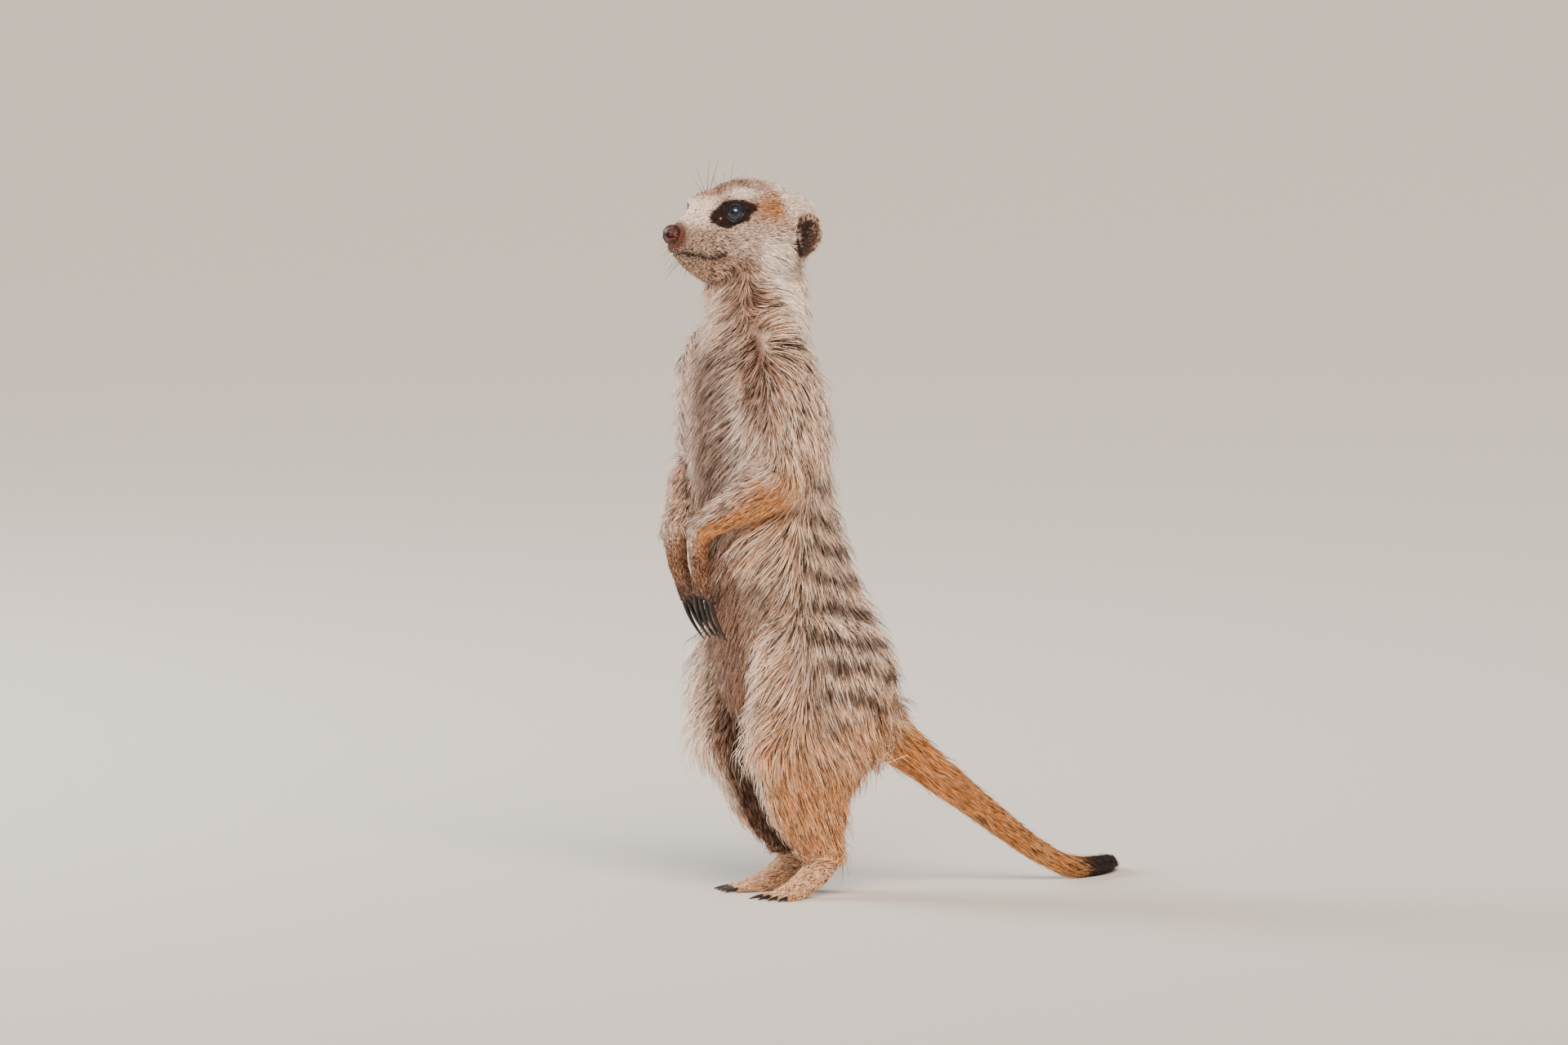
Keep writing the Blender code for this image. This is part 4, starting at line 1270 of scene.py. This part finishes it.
def corner_material():
    """Moist pink flesh at the eye's inner corner, mottled and finely pitted."""
    material, tree = new_material("eye_corner_flesh", {"Roughness": 0.3})
    place = add_node(tree, "TexCoord", {}, "Object")
    mottle = add_node(tree, "TexNoise", {"Vector": place, "Scale": 2.4 / MM, "Detail": 3.0})
    cover(tree, layered(tree, "#8E3F30", (mottle, 0.35, 0.65, "#D88870")), mottle, 0.4, 0.05)
    return material


def nose_material():
    """Moist nose leather: pebbled dark brown, with reddish sand stuck in its hollows and painted shade in
    the nostrils.
    """
    material, tree = new_material("nose_leather", {"Roughness": 0.5, "Specular IOR Level": 0.35})
    place = add_node(tree, "TexCoord", {}, "Object")
    pebbles = add_node(tree, "TexVoronoi", {"Vector": place, "Scale": 1.7 / MM})
    sand = add_node(tree, "TexNoise", {"Vector": place, "Scale": 0.52 / MM, "Detail": 5.0})
    leather = layered(tree, "#321B17", (pebbles, 0.0, 0.7, "#160C0A"))
    dust = add_node(tree, "MapRange", {"Value": sand, "From Min": 0.46, "From Max": 0.62}, **SMOOTH)
    thin_dust = add_node(tree, "Math", {0: dust, 1: 0.6}, operation="MULTIPLY")
    dusty = add_node(tree, "Mix", {0: thin_dust, 6: leather, 7: "#84402E"}, **COLOUR_MIX)
    # painted shade: the nostrils' pits painted near black, as deep holes
    pit = add_node(tree, "Attribute", {}, "Fac", attribute_name="pit")
    pits_painted_shade = add_node(tree, "Mix", {0: pit, 6: dusty, 7: "#0B0706"}, **COLOUR_MIX)
    height = add_node(tree, "Math", {0: dust, 1: pebbles}, operation="SUBTRACT")
    cover(tree, pits_painted_shade, height, 0.7, 0.25)
    return material


def claw_material():
    """Horn: nearly black, with fine ribs along the claw and a dull sheen."""
    material, tree = new_material("claw_horn", {"Roughness": 0.38})
    place = add_node(tree, "TexCoord", {}, "Object")
    stretched = add_node(tree, "Mapping", {"Vector": place, "Scale": (1.0, 1.0, 0.12)})
    ribs = add_node(tree, "TexNoise", {"Vector": stretched, "Scale": 2.6 / MM, "Detail": 3.0})
    cover(tree, layered(tree, "#090605", (ribs, 0.35, 0.7, "#2C201B")), ribs, 0.5, 0.1)
    return material


def whisker_material():
    """Stiff whisker hair: dark brown, paler and browner in patches along it."""
    material, tree = new_material("whisker_keratin", {"Roughness": 0.4})
    place = add_node(tree, "TexCoord", {}, "Object")
    patches = add_node(tree, "TexNoise", {"Vector": place, "Scale": 0.18 / MM, "Detail": 2.0})
    cover(tree, add_node(tree, "Mix", {0: patches, 6: "#0E0A09", 7: "#3A2C25"}, **COLOUR_MIX))
    return material


def floor_material():
    """Pale matt floor, even in tone, so that only the shadow shows on it."""
    return new_material("pale_floor", {"Base Color": colour("#D9D3CA"), "Roughness": 0.9})[0]


# ---------------------------------------------------------------- the studio


CAMERA_TURN = 62  # degrees round from the animal's front
CAMERA_RISE = 4.5  # degrees above level
CAMERA_AWAY = 9.2  # metres
AIM_ACROSS, AIM_UP = -1.4, 157.0  # mm, from the point under the shoulders
LENS, FILM = 500, 36  # mm
SUN_SPREAD = 36  # degrees, as wide as a bright part of the sky
SKY_STRENGTH = 0.6


def add_lamp(name, kind, place, aim, tint, **settings):
    """A lamp that shines from a place towards an aim, in metres."""
    lamp = bpy.data.lights.new(name, kind)
    lamp.color = colour(tint)[:3]
    for setting, value in settings.items():
        setattr(lamp, setting, value)
    made = linked(name, lamp)
    made.location = Vector(place)
    made.rotation_euler = (Vector(place) - Vector(aim)).to_track_quat("Z", "Y").to_euler()


def make_studio():
    """A far camera, a broad soft sun, a light on the edge away from it, a pale sky and a floor."""
    turn, rise = math.radians(CAMERA_TURN), math.radians(CAMERA_RISE)
    right = np.array((math.cos(turn), math.sin(turn), 0))
    up = np.array((-math.sin(turn) * math.sin(rise), math.cos(turn) * math.sin(rise), math.cos(rise)))
    back = np.array((math.sin(turn) * math.cos(rise), -math.cos(turn) * math.cos(rise), math.sin(rise)))
    aim = in_frame(right * AIM_ACROSS + up * AIM_UP)
    lens = bpy.data.cameras.new("camera")
    lens.lens = LENS
    lens.sensor_width = FILM
    lens.clip_end = 100
    camera = linked("camera", lens)
    camera.location = Vector(aim + back * CAMERA_AWAY)
    camera.rotation_euler = Vector(back).to_track_quat("Z", "Y").to_euler()
    bpy.context.scene.camera = camera

    sun_spread = math.radians(SUN_SPREAD)
    add_lamp("key", "SUN", (0.8, -0.32, 0.64), (0, 0, 0), "#FFECDA", energy=5.2, angle=sun_spread)
    add_lamp("edge", "AREA", (-1.5, -1.2, 0.8), (0, 0, 0.16), "#F4F8FF", energy=60, size=1.2)
    world = bpy.data.worlds.new("studio")
    world.use_nodes = True
    sky = world.node_tree.nodes["Background"]
    sky.inputs["Color"].default_value = colour("#E4E2E0")
    sky.inputs["Strength"].default_value = SKY_STRENGTH
    bpy.context.scene.world = world

    bpy.ops.object.select_all(action="DESELECT")
    bpy.ops.mesh.primitive_plane_add(size=60)
    floor = bpy.context.active_object
    floor.name = "floor"
    floor.data.materials.append(floor_material())


# ---------------------------------------------------------------- the whole animal


def finish_piece(piece, material, nodes=()):
    piece.data.materials.clear()
    piece.data.materials.append(material)
    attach(piece, "root")
    if nodes:
        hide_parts(*nodes)


skin, hide = make_hide()
finish_piece(skin, skin_material(), FLESH)
fur = fur_material()
for coat in make_coat(hide):
    finish_piece(coat, fur)
eye_finish, rim_finish, horn = eye_material(), rim_material(), claw_material()
corner_finish, whisker_finish = corner_material(), whisker_material()
for side in SIDES:
    finish_piece(make_eye(side), eye_finish, ["eye_" + side])
    finish_piece(make_lid_rim(side), rim_finish)
    finish_piece(make_eye_corner(side), corner_finish)
finish_piece(make_nose(), nose_material(), ["nose"])
finish_piece(make_whiskers(), whisker_finish)
finish_piece(make_bristles(hide), whisker_finish)
for name, slot in SLOTS.items():
    if slot == "claw":
        finish_piece(make_claw(name), horn, [name])
make_studio()
